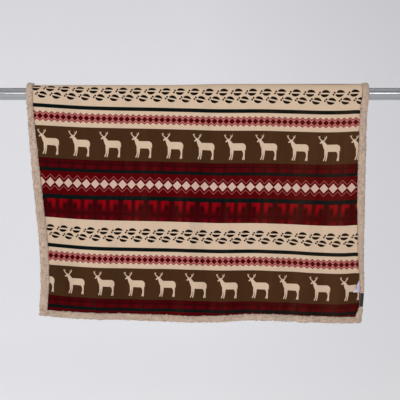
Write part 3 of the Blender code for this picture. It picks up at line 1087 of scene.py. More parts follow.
def closed_sheet(name, outer, inner, ruler, flat, material):
    """A sheet with an outer and an inner side and a rim, from grids of points.

    ruler holds the print coordinates of the grid, and flat its place on the bake map.
    """
    columns, rows = outer.shape[:2]
    count = columns * rows
    faces = sheet_faces(columns, rows)
    points = np.concatenate((outer.reshape(-1, 3), inner.reshape(-1, 3)))
    print_at = ruler.reshape(-1, 2)[faces % count]
    flat_at = flat.reshape(-1, 2)[faces % count]
    side = (columns - 1) * (rows - 1)
    spare = 1.0 - OUTSIDE_MAP_WIDTH
    hidden = flat_at[side:2 * side, :, 0]
    flat_at[side:2 * side, :, 0] = OUTSIDE_MAP_WIDTH + MAP_EDGE + hidden * spare / 2.0
    rim = flat_at[2 * side:]
    steps = np.linspace(0.0, 1.0, len(rim) + 1) * (1.0 - 2.0 * MAP_EDGE) + MAP_EDGE
    rim[:, (0, 3), 0] = 1.0 - spare / 3.0
    rim[:, (1, 2), 0] = 1.0 - MAP_EDGE
    rim[:, (0, 1), 1] = steps[:-1, None]
    rim[:, (2, 3), 1] = steps[1:, None]
    maps = {"print": print_at, "OFBake": flat_at}
    return new_piece(name, points, faces, material, maps)


def make_face_panel():
    """The printed cloth."""
    lines = np.linspace(1.0, 2.0, FACE_CELLS + 1)
    start = HEM_BORDER
    along = rows_along(lines, start, CLOTH_LENGTH - start, (FRONT_CELLS, TURN_CELLS, BACK_CELLS))
    across = np.broadcast_to(lines[:, None], along.shape)
    over = np.clip((along - front_drop(across)) / TURN_LENGTH, 0.0, 1.0)
    loose = TOP_LOOSE * ease(share_across(across), *TOP_LOOSE_FROM) * np.sin(math.pi * over)
    outer = place(across, along, FACE_FRONT + loose)
    inner = place(across, along, FACE_BACK + loose)
    sideways = MAP_EDGE + (across - 1.0) * (OUTSIDE_MAP_WIDTH - 2.0 * MAP_EDGE)
    drop = front_drop(across)
    lower = FRONT_MAP_SHARE * (along - start) / (drop - start)
    higher = (along - drop) / (CLOTH_LENGTH - start - drop)
    upwards = np.where(along < drop, lower, FRONT_MAP_SHARE + (1.0 - FRONT_MAP_SHARE) * higher)
    flat = np.stack((sideways, MAP_EDGE + upwards * (1.0 - 2.0 * MAP_EDGE)), axis=-1)
    return closed_sheet("face_panel", outer, inner, print_place(across, along), flat, fleece)


face_panel = make_face_panel()
print("face:", len(face_panel.data.polygons), "faces")

# %% [markdown]
# Sherpa is a knit with a high, curly pile. Its colour is an even beige with a random
# mottle, and painted shade darkens it between the curls. Object coordinates suit it,
# because its mottling has no direction, and two sizes of bump stand for the curls that are
# too small to be modelled.

# %% The sherpa
SHERPA_LIGHT = linear(219, 195, 174)
# The dark end holds the random mottle and the painted shade between the curls.
SHERPA_MOTTLE_AND_SHADE = linear(172, 147, 127)
SHERPA_CURLS = Noise(170.0, 3.0, 0.6)
SHERPA_CURL_SHADE_WEIGHT = 1.5
SHERPA_CURLS_BUMP = Bump(0.5, 0.0015)
SHERPA_MOTTLE = Noise(28.0, 2.0, 0.5)
SHERPA_MOTTLE_WEIGHT = 0.6
SHERPA_CELLS = {"Scale": 260.0, "Smoothness": 0.6}
SHERPA_CELLS_BUMP = Bump(0.6, 0.0020)
# A lighter copy of the sherpa for the loose curls: painted light on them.
CURL_PAINTED_LIGHT = 0.12


def make_sherpa(name, lift=0.0):
    """Curly beige pile."""
    bench = Bench(name, Roughness=0.95, Sheen_Weight=0.25, Sheen_Roughness=0.6,
                  Specular_IOR_Level=0.15)
    spot = bench.spot()
    curls = bench.noise(spot, SHERPA_CURLS)
    mottle = bench.noise(spot, SHERPA_MOTTLE)
    # Where the curl noise is low, the colour darkens: painted shade between the curls.
    share = (curls - 0.5) * SHERPA_CURL_SHADE_WEIGHT + (mottle - 0.5) * SHERPA_MOTTLE_WEIGHT
    # lift lightens the whole colour, which makes the curls' copy a painted-light copy.
    share = share + (0.5 + lift)
    bench.feed("Base Color", bench.mix(share.clamped(), SHERPA_MOTTLE_AND_SHADE, SHERPA_LIGHT))
    cells = bench.add("ShaderNodeTexVoronoi", {"feature": "SMOOTH_F1"},
                      {"Vector": spot, **SHERPA_CELLS})
    normal = bench.bump(1.0 - cells, SHERPA_CELLS_BUMP)
    bench.feed("Normal", bench.bump(curls, SHERPA_CURLS_BUMP, normal))
    return bench.material


sherpa = make_sherpa("sherpa")
sherpa_curl = make_sherpa("sherpa_curl", CURL_PAINTED_LIGHT)
print("sherpa ready")

# %% [markdown]
# The border is a tube that runs round all four edges: its section is the turned-over edge
# seen end on, with a groove where it is stitched down. Its points are pushed out and in by
# noise into soft lumps, except under the label. A plain slab of the same cloth lies
# between the drops and behind the print, where little of it shows.

# %% The border and the backing
SectionPoint = namedtuple("SectionPoint", "inset depth")
HEM_STEPS = 330
SIDE_STEPS = 450
LUMP_SIZE = 0.0085
LUMP_OUT = 0.0034
LUMP_REST = 0.0008
LUMP_MIX = (0.7, 0.5)
LUMP_BROAD = 0.45
LUMP_DEPTHS = (0.001, 0.012)
LUMP_AT_SEAM = 0.45
LUMP_INNER = 1.5
SLAB_LINES = 60
SLAB_CELLS = (44, 12, 34)
SLAB_INSET = 0.6
SLAB_DEPTH = 0.0085
SEAM_INSET = 0.82
SEAM_DEPTH = 0.0182
LABEL_LOW = 0.074
LABEL_HIGH = 0.134
LABEL_MARGIN = 0.006
TUCKED_IN = SectionPoint(1.0, 0.0080)
INNER_SLOPE = (SectionPoint(0.94, 0.0120), SectionPoint(0.92, 0.0165))
INNER_TOP = (SectionPoint(0.88, 0.0186), SectionPoint(SEAM_INSET, SEAM_DEPTH),
             SectionPoint(0.76, 0.0192))
FRONT_INSETS = (0.68, 0.57, 0.46, 0.35, 0.27, 0.17, 0.09, 0.03, 0.0)
BACK_INSETS = (0.03, 0.09, 0.17, 0.27, 0.50, 0.75, 1.0)


def border_swell(inset):
    """Half the border's thickness at a share of its width from the outer edge."""
    curve = 1.0 - np.minimum(np.asarray(inset) / BORDER_ROUND, 1.0)
    return BORDER_THICKNESS / 2.0 * np.sqrt(1.0 - curve * curve)


def border_section():
    """The tube's section: down the inner side, over the front, round the edge and back."""
    middle = BORDER_THICKNESS / 2.0
    front = [SectionPoint(inset, middle + float(border_swell(inset)))
             for inset in FRONT_INSETS]
    back = [SectionPoint(inset, middle - float(border_swell(inset)))
            for inset in BACK_INSETS]
    return [TUCKED_IN, *INNER_SLOPE, *INNER_TOP, *front, *back]


def perimeter(inset, shift=0.0):
    """Across and along of points round the throw, at a share of the border's width."""
    hem = (np.arange(HEM_STEPS) + shift) / HEM_STEPS
    side = (np.arange(SIDE_STEPS) + shift) / SIDE_STEPS
    low = BORDER_SHARE * inset
    across_hem = across_at(low + (1.0 - 2.0 * low) * hem)
    edge_low = HEM_BORDER * inset
    along_side = edge_low + (CLOTH_LENGTH - 2.0 * edge_low) * side
    left = np.full(SIDE_STEPS, float(inset))
    bottom = np.full(HEM_STEPS, edge_low)
    across = np.concatenate((across_hem, 3.0 - left, 3.0 - across_hem, left))
    along = np.concatenate((bottom, along_side, CLOTH_LENGTH - bottom,
                            CLOTH_LENGTH - along_side))
    return across, along


def border_points():
    """Grid of the tube's points and the share of lumps that each may have."""
    points = []
    lumps = []
    for spot in border_section():
        across, along = perimeter(spot.inset)
        points.append(place(across, along, spot.depth))
        low_enough = along < LABEL_HIGH + LABEL_MARGIN
        under = (across > 2.0) & (along > LABEL_LOW - LABEL_MARGIN) & low_enough
        share = ease(spot.depth, *LUMP_DEPTHS)
        if spot.inset == SEAM_INSET:
            share = share * LUMP_AT_SEAM
        if spot in INNER_SLOPE:
            share = share * LUMP_INNER
        if spot.inset == TUCKED_IN.inset:
            share = 0.0
        lumps.append(np.where(under, 0.0, share))
    return np.array(points), np.array(lumps)


def border_faces(columns, rows, first=0):
    """Faces of the closed tube, numbered section point by section point."""
    number = first + np.arange(columns * rows).reshape(columns, rows)
    onward = np.roll(number, -1, axis=0)
    faces = np.stack((number, np.roll(number, -1, axis=1), np.roll(onward, -1, axis=1),
                      onward), axis=-1)
    return faces.reshape(-1, 4)[:, ::-1]


def slab_grid():
    """Outer and inner points of the cloth between the borders."""
    ends = BORDER_SHARE * SLAB_INSET
    lines = across_at(np.linspace(ends, 1.0 - ends, SLAB_LINES + 1))
    start = HEM_BORDER * SLAB_INSET
    along = rows_along(lines, start, CLOTH_LENGTH - start, SLAB_CELLS)
    across = np.broadcast_to(lines[:, None], along.shape)
    return place(across, along, SLAB_DEPTH), place(across, along, 0.0)


def make_backing():
    """The sherpa cloth with its border."""
    ring, lumps = border_points()
    outer, inner = slab_grid()
    ring_count = lumps.size
    faces = np.concatenate((border_faces(*lumps.shape),
                            sheet_faces(*outer.shape[:2], ring_count)))
    points = np.concatenate([grid.reshape(-1, 3) for grid in (ring, outer, inner)])
    share = np.zeros(len(points))
    share[:ring_count] = lumps.ravel()
    thing = new_piece("sherpa_cloth", points, faces, sherpa)
    for vertex, here in zip(thing.data.vertices, share):
        if here > 0.0:
            spot = Vector(vertex.co) / LUMP_SIZE
            height = LUMP_MIX[0] * noise.noise(spot)
            height += LUMP_MIX[1] * noise.noise(spot * LUMP_BROAD)
            vertex.co = vertex.co + vertex.normal * (here * (LUMP_OUT * height + LUMP_REST))
    attribute = thing.data.attributes.new("lumps", "FLOAT", "POINT")
    attribute.data.foreach_set("value", share.astype(np.float32))
    return thing


backing = make_backing()
print("sherpa:", len(backing.data.polygons), "faces")

# %% [markdown]
# Things that repeat are grown by Geometry Nodes. This class builds a tree with named sizes,
# runs it on a mesh and keeps the result as a plain mesh, so nothing stays live.

# %% A workbench for Geometry Nodes
class Tree:
    """A Geometry Nodes tree with named inputs, built node by node."""

    def __init__(self, name):
        self.group = bpy.data.node_groups.new(name, "GeometryNodeTree")
        self.group.interface.new_socket("Geometry", in_out="INPUT",
                                        socket_type="NodeSocketGeometry")
        self.group.interface.new_socket("Geometry", in_out="OUTPUT",
                                        socket_type="NodeSocketGeometry")
        self.inputs = self.group.nodes.new("NodeGroupInput")
        self.outputs = self.group.nodes.new("NodeGroupOutput")
        self.names = {}

    def size(self, name, kind="NodeSocketFloat"):
        """A new named input of the tree."""
        socket = self.group.interface.new_socket(name, in_out="INPUT", socket_type=kind)
        self.names[name] = socket.identifier
        return self.inputs.outputs[name]

    def add(self, kind, settings=None, values=None):
        node = self.group.nodes.new(kind)
        for name, value in (settings or {}).items():
            setattr(node, name, value)
        for name, value in (values or {}).items():
            if isinstance(value, bpy.types.NodeSocket):
                self.group.links.new(value, node.inputs[name])
            else:
                node.inputs[name].default_value = value
        return node

    def finish(self, geometry, material):
        """Realizes the instances and sets their material, as the last two nodes."""
        real = self.add("GeometryNodeRealizeInstances", None, {0: geometry})
        painted = self.add("GeometryNodeSetMaterial", None,
                           {"Geometry": real.outputs[0], "Material": material})
        self.group.links.new(painted.outputs[0], self.outputs.inputs[0])

    def grow(self, start, name, sizes):
        """A plain mesh object made by the tree on a copy of the start object."""
        base = add_object(name + "_base", start)
        modifier = base.modifiers.new(name, "NODES")
        modifier.node_group = self.group
        for title, value in sizes.items():
            modifier[self.names[title]] = value
        evaluated = base.evaluated_get(bpy.context.evaluated_depsgraph_get())
        mesh = bpy.data.meshes.new_from_object(evaluated)
        mesh.name = name
        bpy.data.objects.remove(base, do_unlink=True)
        return add_object(name, mesh)


print("Geometry Nodes workbench ready")

# %% [markdown]
# The curls are small spirals of a three-sided strand, scattered over the border wherever
# the lumps are, each turned and sized at random from a fixed seed.

# %% Curls of the sherpa
CURL_COUNT = 5200
CURL_SEED = 11
CURL_SPIRAL = {"Resolution": 5, "Rotations": 0.85, "Start Radius": 0.0022,
               "End Radius": 0.0010, "Height": 0.0022}
CURL_SIZES = (0.75, 1.35)
CURL_TURN_LOW = (-0.8, -0.8, 0.0)
CURL_TURN_HIGH = (0.8, 0.8, 6.28)
STRAND_RADIUS = 0.0010
STRAND_SIDES = 3
LUMPY = 0.9


def curl_tree():
    """Scatters curls over a mesh where its lumps attribute is high."""
    tree = Tree("curls")
    density = tree.size("Density")
    size = tree.size("Size")
    strand = tree.size("Strand")
    seed = tree.size("Seed", "NodeSocketInt")
    geometry = tree.inputs.outputs["Geometry"]
    lumps = tree.add("GeometryNodeInputNamedAttribute", {"data_type": "FLOAT"},
                     {"Name": "lumps"})
    outside = tree.add("FunctionNodeCompare", {"data_type": "FLOAT",
                                               "operation": "GREATER_THAN"},
                       {"A": lumps.outputs["Attribute"], "B": LUMPY})
    scatter = tree.add("GeometryNodeDistributePointsOnFaces", {"distribute_method": "RANDOM"},
                       {"Mesh": geometry, "Density": density, "Seed": seed,
                        "Selection": outside.outputs["Result"]})
    spiral = tree.add("GeometryNodeCurveSpiral", None, CURL_SPIRAL)
    ring = tree.add("GeometryNodeCurvePrimitiveCircle", None,
                    {"Resolution": STRAND_SIDES, "Radius": strand})
    curl = tree.add("GeometryNodeCurveToMesh", None,
                    {"Curve": spiral.outputs[0], "Profile Curve": ring.outputs[0],
                     "Fill Caps": True})
    turn = tree.add("FunctionNodeRandomValue", {"data_type": "FLOAT_VECTOR"},
                    {"Min": CURL_TURN_LOW, "Max": CURL_TURN_HIGH, "Seed": seed})
    lay = tree.add("FunctionNodeRotateRotation", {"rotation_space": "LOCAL"},
                   {"Rotation": scatter.outputs["Rotation"]})
    tree.group.links.new(turn.outputs["Value"], lay.inputs["Rotate By"])
    grow = tree.add("FunctionNodeRandomValue", {"data_type": "FLOAT"}, {"Seed": seed})
    grow.inputs[2].default_value, grow.inputs[3].default_value = CURL_SIZES
    sized = tree.add("ShaderNodeMath", {"operation": "MULTIPLY"},
                     {0: grow.outputs[1], 1: size})
    spread = tree.add("GeometryNodeInstanceOnPoints", None,
                      {"Points": scatter.outputs["Points"], "Instance": curl.outputs[0],
                       "Rotation": lay.outputs[0], "Scale": sized.outputs[0]})
    tree.finish(spread.outputs[0], sherpa_curl)
    return tree


def lumpy_surface(mesh):
    """Area of a mesh's faces whose points all have lumps."""
    share = np.zeros(len(mesh.vertices), np.float32)
    mesh.attributes["lumps"].data.foreach_get("value", share)
    return sum(face.area for face in mesh.polygons
               if min(share[index] for index in face.vertices) > LUMPY)


lumpy_area = lumpy_surface(backing.data)
curls = curl_tree().grow(backing.data, "sherpa_curls",
                         {"Density": CURL_COUNT / lumpy_area, "Size": 1.0,
                          "Strand": STRAND_RADIUS, "Seed": CURL_SEED})
print("curls:", len(curls.data.polygons), "faces on", round(lumpy_area, 3), "square metres")

# %% [markdown]
# One row of lock stitches holds the turned edge down. A Geometry Nodes tree resamples the
# seam's path at the stitch pitch and lays a short bead of thread along each step.

# %% The stitches
STITCH_PITCH = 0.0046
STITCH_LENGTH = 0.0034
THREAD_RADIUS = 0.00045
THREAD_LIFT = 0.0006
THREAD_DARK = linear(176, 152, 132)
THREAD_LIGHT = linear(206, 186, 166)
THREAD_TWIST = Noise(900.0, 1.0, 0.5)
THREAD_BUMP = Bump(0.4, 0.0004)
BEAD = {"Segments": 6, "Rings": 5, "Radius": 1.0}


def make_thread():
    """Matt beige sewing thread."""
    bench = Bench("thread", Roughness=0.6, Sheen_Weight=0.2)
    twist = bench.noise(bench.spot(), THREAD_TWIST)
    bench.feed("Base Color", bench.mix(twist, THREAD_DARK, THREAD_LIGHT))
    bench.feed("Normal", bench.bump(twist, THREAD_BUMP))
    return bench.material


def seam_mesh():
    """The seam's path as a closed line of edges."""
    across, along = perimeter(SEAM_INSET)
    points = place(across, along, SEAM_DEPTH + THREAD_LIFT)
    mesh = bpy.data.meshes.new("seam_path")
    count = len(points)
    edges = [(index, (index + 1) % count) for index in range(count)]
    mesh.from_pydata([tuple(point) for point in points], edges, [])
    return mesh


def stitch_tree(thread):
    """Lays stitches along a line."""
    tree = Tree("stitches")
    pitch = tree.size("Pitch")
    length = tree.size("Length")
    radius = tree.size("Radius")
    path = tree.add("GeometryNodeMeshToCurve", None, {0: tree.inputs.outputs["Geometry"]})
    steps = tree.add("GeometryNodeResampleCurve", {"mode": "LENGTH"},
                     {"Curve": path.outputs[0], "Length": pitch})
    tangent = tree.add("GeometryNodeInputTangent")
    turn = tree.add("FunctionNodeAlignRotationToVector", {"axis": "Z"},
                    {"Vector": tangent.outputs[0]})
    bead = tree.add("GeometryNodeMeshUVSphere", None, BEAD)
    half = tree.add("ShaderNodeMath", {"operation": "MULTIPLY"}, {0: length, 1: 0.5})
    size = tree.add("ShaderNodeCombineXYZ", None,
                    {0: radius, 1: radius, 2: half.outputs[0]})
    laid = tree.add("GeometryNodeInstanceOnPoints", None,
                    {"Points": steps.outputs[0], "Instance": bead.outputs[0],
                     "Rotation": turn.outputs[0], "Scale": size.outputs[0]})
    tree.finish(laid.outputs[0], thread)
    return tree


stitches = stitch_tree(make_thread()).grow(
    seam_mesh(), "seam_stitches",
    {"Pitch": STITCH_PITCH, "Length": STITCH_LENGTH, "Radius": THREAD_RADIUS})
stitches.data.shade_smooth()
print("stitches:", len(stitches.data.polygons), "faces")

# %% [markdown]
# Two labels are sewn in at the right edge, a white one of satin ribbon and a dark one of
# woven tape. Satin shines across its threads, so a stretched noise gives it colour and
# bump; the ribbon's hem is placed by height, and a dark line of painted shade is placed
# along its one crease. The tape has ribs.

# %% Cloth of the labels
TAG_HEM_Z = -0.880
TAG_CREASE_X = 0.696
TAG_CREASE_Z = (-0.872, -0.842)
SATIN_DARK = linear(182, 173, 192)
SATIN_LIGHT = linear(200, 191, 206)
SATIN_STRETCH = (1.0, 1.0, 9.0)
SATIN_THREADS = Noise(380.0, 1.0, 0.5)
SATIN_BUMP = Bump(0.25, 0.0004)
SATIN_HEM = linear(225, 214, 222)
SATIN_HEM_EDGE = 0.006
SATIN_HEM_SHARE = 0.6
# A dark lilac line down the tag's crease: painted shade.
SATIN_CREASE_SHADE = linear(84, 78, 136)
CREASE_SHADE_HALF_WIDTH = 0.0018
CREASE_SHADE_SOFTNESS = (0.004, 0.012)
WOVEN_DARK = linear(22, 21, 16)
WOVEN_LIGHT = linear(42, 39, 31)
WOVEN_RIB = 0.0011
WOVEN_FLECK = Noise(900.0, 1.0, 0.5)
WOVEN_BUMP = Bump(0.5, 0.0005)


def make_satin():
    """White satin ribbon with a faint lilac cast and fine crosswise threads."""
    bench = Bench("satin", Roughness=0.42, Sheen_Weight=0.1)
    spot = bench.spot()
    threads = bench.noise(bench.stretch(spot, SATIN_STRETCH), SATIN_THREADS)
    colour = bench.mix(threads, SATIN_DARK, SATIN_LIGHT)
    height = bench.part(spot, "Z")
    hem = before(height, TAG_HEM_Z, SATIN_HEM_EDGE) * SATIN_HEM_SHARE
    colour = bench.mix(hem, colour, SATIN_HEM)
    # Painted shade along the crease.
    off = abs(bench.part(spot, "X") - TAG_CREASE_X)
    crease = before(off, CREASE_SHADE_HALF_WIDTH, CREASE_SHADE_SOFTNESS[0])
    crease = crease * between(height, *TAG_CREASE_Z, CREASE_SHADE_SOFTNESS[1])
    bench.feed("Base Color", bench.mix(crease, colour, SATIN_CREASE_SHADE))
    bench.feed("Normal", bench.bump(threads, SATIN_BUMP))
    return bench.material


def make_woven():
    """Dark, ribbed woven tape."""
    bench = Bench("woven_tape", Roughness=0.8, Sheen_Weight=0.1)
    spot = bench.spot()
    ribs = wave(bench.part(spot, "Z"), WOVEN_RIB, 0.0)
    share = (ribs * 0.5 + bench.noise(spot, WOVEN_FLECK) * 0.5).clamped()
    bench.feed("Base Color", bench.mix(share, WOVEN_DARK, WOVEN_LIGHT))
    bench.feed("Normal", bench.bump(ribs, WOVEN_BUMP))
    return bench.material


satin = make_satin()
woven = make_woven()
print("label cloths:", satin.name, woven.name)

# %% [markdown]
# The white label hangs from the seam, folded over so that a triangle of it shows. The dark
# one is folded round the edge, a little clear of the border. Both are left bare.

# %% The labels
TAG_TOP = 0.196
TAG_ACROSS = 0.0234
TAG_STEPS = 14
TAG_THICKNESS = 0.0005
TAG_DROOP = 0.003
TAG_LOW = 0.139
TAG_RIDGE = 0.42
TAG_RIDGE_OUT = 0.0065
TAG_RIDGE_WIDTH = 0.6
TAG_RIDGE_LEAN = 0.3
TAG_RIDGE_FADE = 0.6
LABEL_STEPS = 16
LABEL_THICKNESS = 0.0009
LABEL_CLEAR = 0.0006
LABEL_SHARE = 0.9
LABEL_INSETS = np.concatenate((np.linspace(0.97, 0.30, 6), np.linspace(0.22, 0.02, 5)))
LABEL_FORWARD = np.concatenate((np.full(6, 1.0), np.linspace(0.9, 0.3, 5), [0.0],
                                -np.linspace(0.3, 0.9, 5), np.full(6, -1.0)))
WELD = 1e-6


def plate(name, outer, inner, material):
    """A closed thin plate between two grids of points."""
    faces = sheet_faces(*outer.shape[:2])
    points = np.concatenate((outer.reshape(-1, 3), inner.reshape(-1, 3)))
    thing = new_piece(name, points, faces, material)
    bm = bmesh.new()
    bm.from_mesh(thing.data)
    bmesh.ops.remove_doubles(bm, verts=bm.verts[:], dist=WELD)
    bmesh.ops.recalc_face_normals(bm, faces=bm.faces[:])
    bm.to_mesh(thing.data)
    bm.free()
    return thing


def make_care_tag(material):
    """The satin label: its seam edge is upright, and it narrows to its free corner."""
    away = np.linspace(1.0, 0.0, TAG_STEPS + 1)[:, None]
    up = np.linspace(0.0, 1.0, TAG_STEPS + 1)[None, :]
    across = 2.0 + 0.0 * up - TAG_ACROSS * away
    seam_along = TAG_LOW + (TAG_TOP - TAG_LOW) * up
    along = seam_along + (TAG_LOW - TAG_DROOP - seam_along) * away
    ridge = 1.0 - np.abs(away - TAG_RIDGE * (1.0 - TAG_RIDGE_LEAN * up)) / TAG_RIDGE_WIDTH
    lift = TAG_RIDGE_OUT * np.clip(ridge, 0.0, 1.0) * (1.0 - TAG_RIDGE_FADE * up)
    depth = FACE_FRONT + 2.0 * GAP + lift
    outer = place(across, along, depth + TAG_THICKNESS)
    inner = place(across, along, depth)
    return plate("care_label", outer, inner, material)


def make_edge_label(material):
    """The woven label folded round the right edge."""
    middle = BORDER_THICKNESS / 2.0
    swell = border_swell(LABEL_INSETS)
    across = np.concatenate((3.0 - LABEL_INSETS, [3.0], 3.0 - LABEL_INSETS[::-1]))
    depth = np.concatenate((middle + swell, [middle], middle - swell[::-1]))
    outward = np.sqrt(1.0 - LABEL_FORWARD * LABEL_FORWARD)
    along = np.linspace(LABEL_LOW, LABEL_HIGH, LABEL_STEPS + 1)[None, :]
    border_width = outline("right_border", np.full(1, LABEL_SHARE))[0]

    def layer(clear):
        sideways = across + clear * outward / border_width
        return place(sideways[:, None], along, (depth + clear * LABEL_FORWARD)[:, None])

    return plate("edge_label", layer(LABEL_CLEAR + LABEL_THICKNESS), layer(LABEL_CLEAR),
                 material)


care_label = make_care_tag(satin)
edge_label = make_edge_label(woven)
print("labels:", len(care_label.data.polygons), len(edge_label.data.polygons), "faces")

# %% [markdown]
# The rod is a plain drawn tube of brushed metal. Its turned outline has a small round at
# each end and a shallow dish in the end face, and the brushing is noise that is stretched
# along the rod, in the roughness and as a very fine bump.

# %% The rod
ROD_SIDES = 96
ROD_RINGS = 24
SHARP_ANGLE = 35.0
METAL_DARK = linear(158, 159, 161)
METAL_LIGHT = linear(180, 181, 183)
METAL_ROUGHNESS = (0.17, 0.08)
BRUSH_STRETCH = (1.0, 60.0, 60.0)
BRUSH_LINES = Noise(30.0, 3.0, 0.6)
BRUSH_BUMP = Bump(0.06, 0.0004)
RodPoint = namedtuple("RodPoint", "inward radius")
ROD_END = (
    RodPoint(0.0012, 0.0000),
    RodPoint(0.0012, 0.0235),
    RodPoint(0.0000, 0.0243),
    RodPoint(0.0000, 0.0258),
    RodPoint(0.0004, 0.0267),
    RodPoint(0.0013, 0.0270),
)


def make_metal():
    """Brushed aluminium."""
    bench = Bench("brushed_metal", Metallic=1.0)
    lines = bench.noise(bench.stretch(bench.spot(), BRUSH_STRETCH), BRUSH_LINES)
    bench.feed("Base Color", bench.mix(lines, METAL_DARK, METAL_LIGHT))
    smoothest, span = METAL_ROUGHNESS
    bench.feed("Roughness", lines * span + smoothest)
    bench.feed("Normal", bench.bump(lines, BRUSH_BUMP))
    return bench.material


def turned(profile, axis, sides, weld):
    """A profile of (x, z) points, turned about an axis, as an open bmesh."""
    bm = bmesh.new()
    verts = [bm.verts.new((x, 0.0, z)) for x, z in profile]
    edges = [bm.edges.new(pair) for pair in zip(verts, verts[1:])]
    bmesh.ops.spin(bm, geom=verts + edges, cent=(0, 0, 0), axis=axis,
                   angle=2.0 * math.pi, steps=sides, use_merge=True)
    bmesh.ops.remove_doubles(bm, verts=bm.verts[:], dist=weld)
    return bm


def make_rod(material):
    """The rod, turned about its own axis."""
    low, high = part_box("rod")
    profile = [(low.x + spot.inward, spot.radius) for spot in ROD_END]
    profile += [(low.x + (high.x - low.x) * step / ROD_RINGS, ROD_RADIUS)
                for step in range(1, ROD_RINGS)]
    profile += [(high.x - spot.inward, spot.radius) for spot in reversed(ROD_END)]
    bm = turned(profile, (1, 0, 0), ROD_SIDES, WELD)
    bmesh.ops.recalc_face_normals(bm, faces=bm.faces[:])
    mesh = bpy.data.meshes.new("rod_tube")
    bm.to_mesh(mesh)
    bm.free()
    mesh.shade_smooth()
    mesh.set_sharp_from_angle(angle=math.radians(SHARP_ANGLE))
    mesh.materials.append(material)
    return add_object("rod_tube", mesh)


rod = make_rod(make_metal())
print("rod:", len(rod.data.polygons), "faces")

# %% [markdown]
# Every piece rides on the one body of the model and stands for the plain solid that it
# replaces, which is hidden. The cloths were cut to size: the print shows 1.465 by 1.977 m
# inside the border, and the sherpa is larger by its turned edges.

# %% Attach each piece to the body and hide the solids it replaces
for piece, slot, node in (
    (face_panel, "printed_fleece", "face_panel"),
    (backing, "sherpa", "sherpa_backing"),
    (curls, "sherpa", None),
    (stitches, "sherpa", None),
    (care_label, "satin_label", "care_label"),
    (edge_label, "woven_label", "edge_label"),
    (rod, "rod_metal", "rod"),
):
    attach(piece, "root")
    if node:
        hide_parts(node)

print("replaced:", [name for name, node in frame["nodes"].items() if node.hide_render])

# %% [markdown]
# The stage is a pale studio: a wide round floor that curves up into a wall on all sides,
# far enough away to be soft and to let the camera go round. Its paint glows a little, and
# painted shade darkens it upwards and to the right, as a lit wall does.

# %% Floor and wall
FLOOR_Z = -1.75
STAGE_RADIUS = 8.5
STAGE_CURVE = 3.0
STAGE_HEIGHT = 10.0
STAGE_SIDES = 96
STAGE_STEPS = 12
STAGE_WELD = 1e-4
STAGE_GLOW = 0.47
STAGE_SHADE = (0.89, 0.035, 0.05)
STAGE_PAINT = (0.80, 0.80, 0.82, 1.0)
BLACK = (0.0, 0.0, 0.0, 1.0)


def make_stage():
    """Floor and wall in one bowl."""
    profile = [(0.0, FLOOR_Z), (STAGE_RADIUS - STAGE_CURVE, FLOOR_Z)]
    for step in range(1, STAGE_STEPS + 1):
        angle = math.pi / 2 * step / STAGE_STEPS
        profile.append((STAGE_RADIUS - STAGE_CURVE + STAGE_CURVE * math.sin(angle),
                        FLOOR_Z + STAGE_CURVE * (1.0 - math.cos(angle))))
    profile.append((STAGE_RADIUS, STAGE_HEIGHT))
    bm = turned(profile, (0, 0, 1), STAGE_SIDES, STAGE_WELD)
    mesh = bpy.data.meshes.new("stage")
    bm.to_mesh(mesh)
    bm.free()
    mesh.shade_smooth()
    bench = Bench("stage_paint", Roughness=0.9, Emission_Strength=STAGE_GLOW)
    spot = bench.spot()
    whole, upwards, rightwards = STAGE_SHADE
    # Painted shade: darker upwards and to the right.
    right = (bench.part(spot, "X") * rightwards).math("MAXIMUM", 0.0)
    shade = whole - bench.part(spot, "Z") * upwards - right
    pale = bench.mix(shade.clamped(), BLACK, STAGE_PAINT)
    bench.feed("Base Color", pale)
    bench.feed("Emission Color", pale)
    mesh.materials.append(bench.material)
    add_object("stage", mesh)


make_stage()
print("stage radius", STAGE_RADIUS, "m")

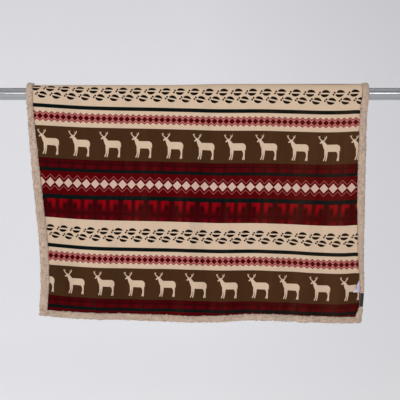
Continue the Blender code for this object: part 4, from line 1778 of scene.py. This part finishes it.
# %% [markdown]
# A large soft light stands at the left in front, a weaker one at the right, and a bright
# panel near the camera draws the long highlight along the rod. The camera looks straight
# at the throw, and its lens makes the view as wide as the photograph's at the cloth.

# %% Light and camera
WORLD_COLOUR = (0.97, 0.98, 1.0, 1.0)
WORLD_STRENGTH = 0.28
CAMERA_DISTANCE = 4.50
CAMERA_HEIGHT = -0.475
SENSOR = 36.0
VIEW_WIDTH = 1.776
CLOTH_PLANE = 0.04
Lamp = namedtuple("Lamp", "name at aim size power")
LAMPS = (
    Lamp("key", (-3.2, -3.2, 1.2), (0.0, 0.0, -0.5), (2.4, 2.0), 28.0),
    Lamp("fill", (3.0, -3.4, 0.2), (0.0, 0.0, -0.5), (2.0, 1.6), 11.0),
    Lamp("rod_panel", (0.25, -4.6, 0.55), (0.15, 0.0, -0.1), (3.9, 0.60), 48.0),
    Lamp("ceiling", (0.0, -0.6, 3.4), (0.0, -0.3, 0.0), (4.0, 4.0), 22.0),
)


def add_light(name, at, aim, size, power):
    """A soft rectangular light that points at a spot."""
    light = bpy.data.lights.new(name, "AREA")
    light.shape = "RECTANGLE"
    light.size, light.size_y = size
    light.energy = power
    thing = add_object(name, light)
    thing.location = at
    towards = Vector(aim) - Vector(at)
    thing.rotation_euler = towards.to_track_quat("-Z", "Y").to_euler()


def add_camera():
    """Face on, level, as far back as a studio camera stands."""
    camera = bpy.data.cameras.new("camera")
    camera.sensor_width = SENSOR
    camera.lens = SENSOR * (CAMERA_DISTANCE - CLOTH_PLANE) / VIEW_WIDTH
    thing = add_object("camera", camera)
    thing.location = (0.0, -CAMERA_DISTANCE, CAMERA_HEIGHT)
    thing.rotation_euler = (math.pi / 2, 0.0, 0.0)
    bpy.context.scene.camera = thing


for lamp in LAMPS:
    add_light(*lamp)
world = bpy.data.worlds.new("studio")
world.use_nodes = True
sky = world.node_tree.nodes["Background"]
sky.inputs["Color"].default_value = WORLD_COLOUR
sky.inputs["Strength"].default_value = WORLD_STRENGTH
bpy.context.scene.world = world
bpy.context.scene.view_settings.view_transform = "Standard"
add_camera()
print("camera lens", round(bpy.context.scene.camera.data.lens, 1), "mm")
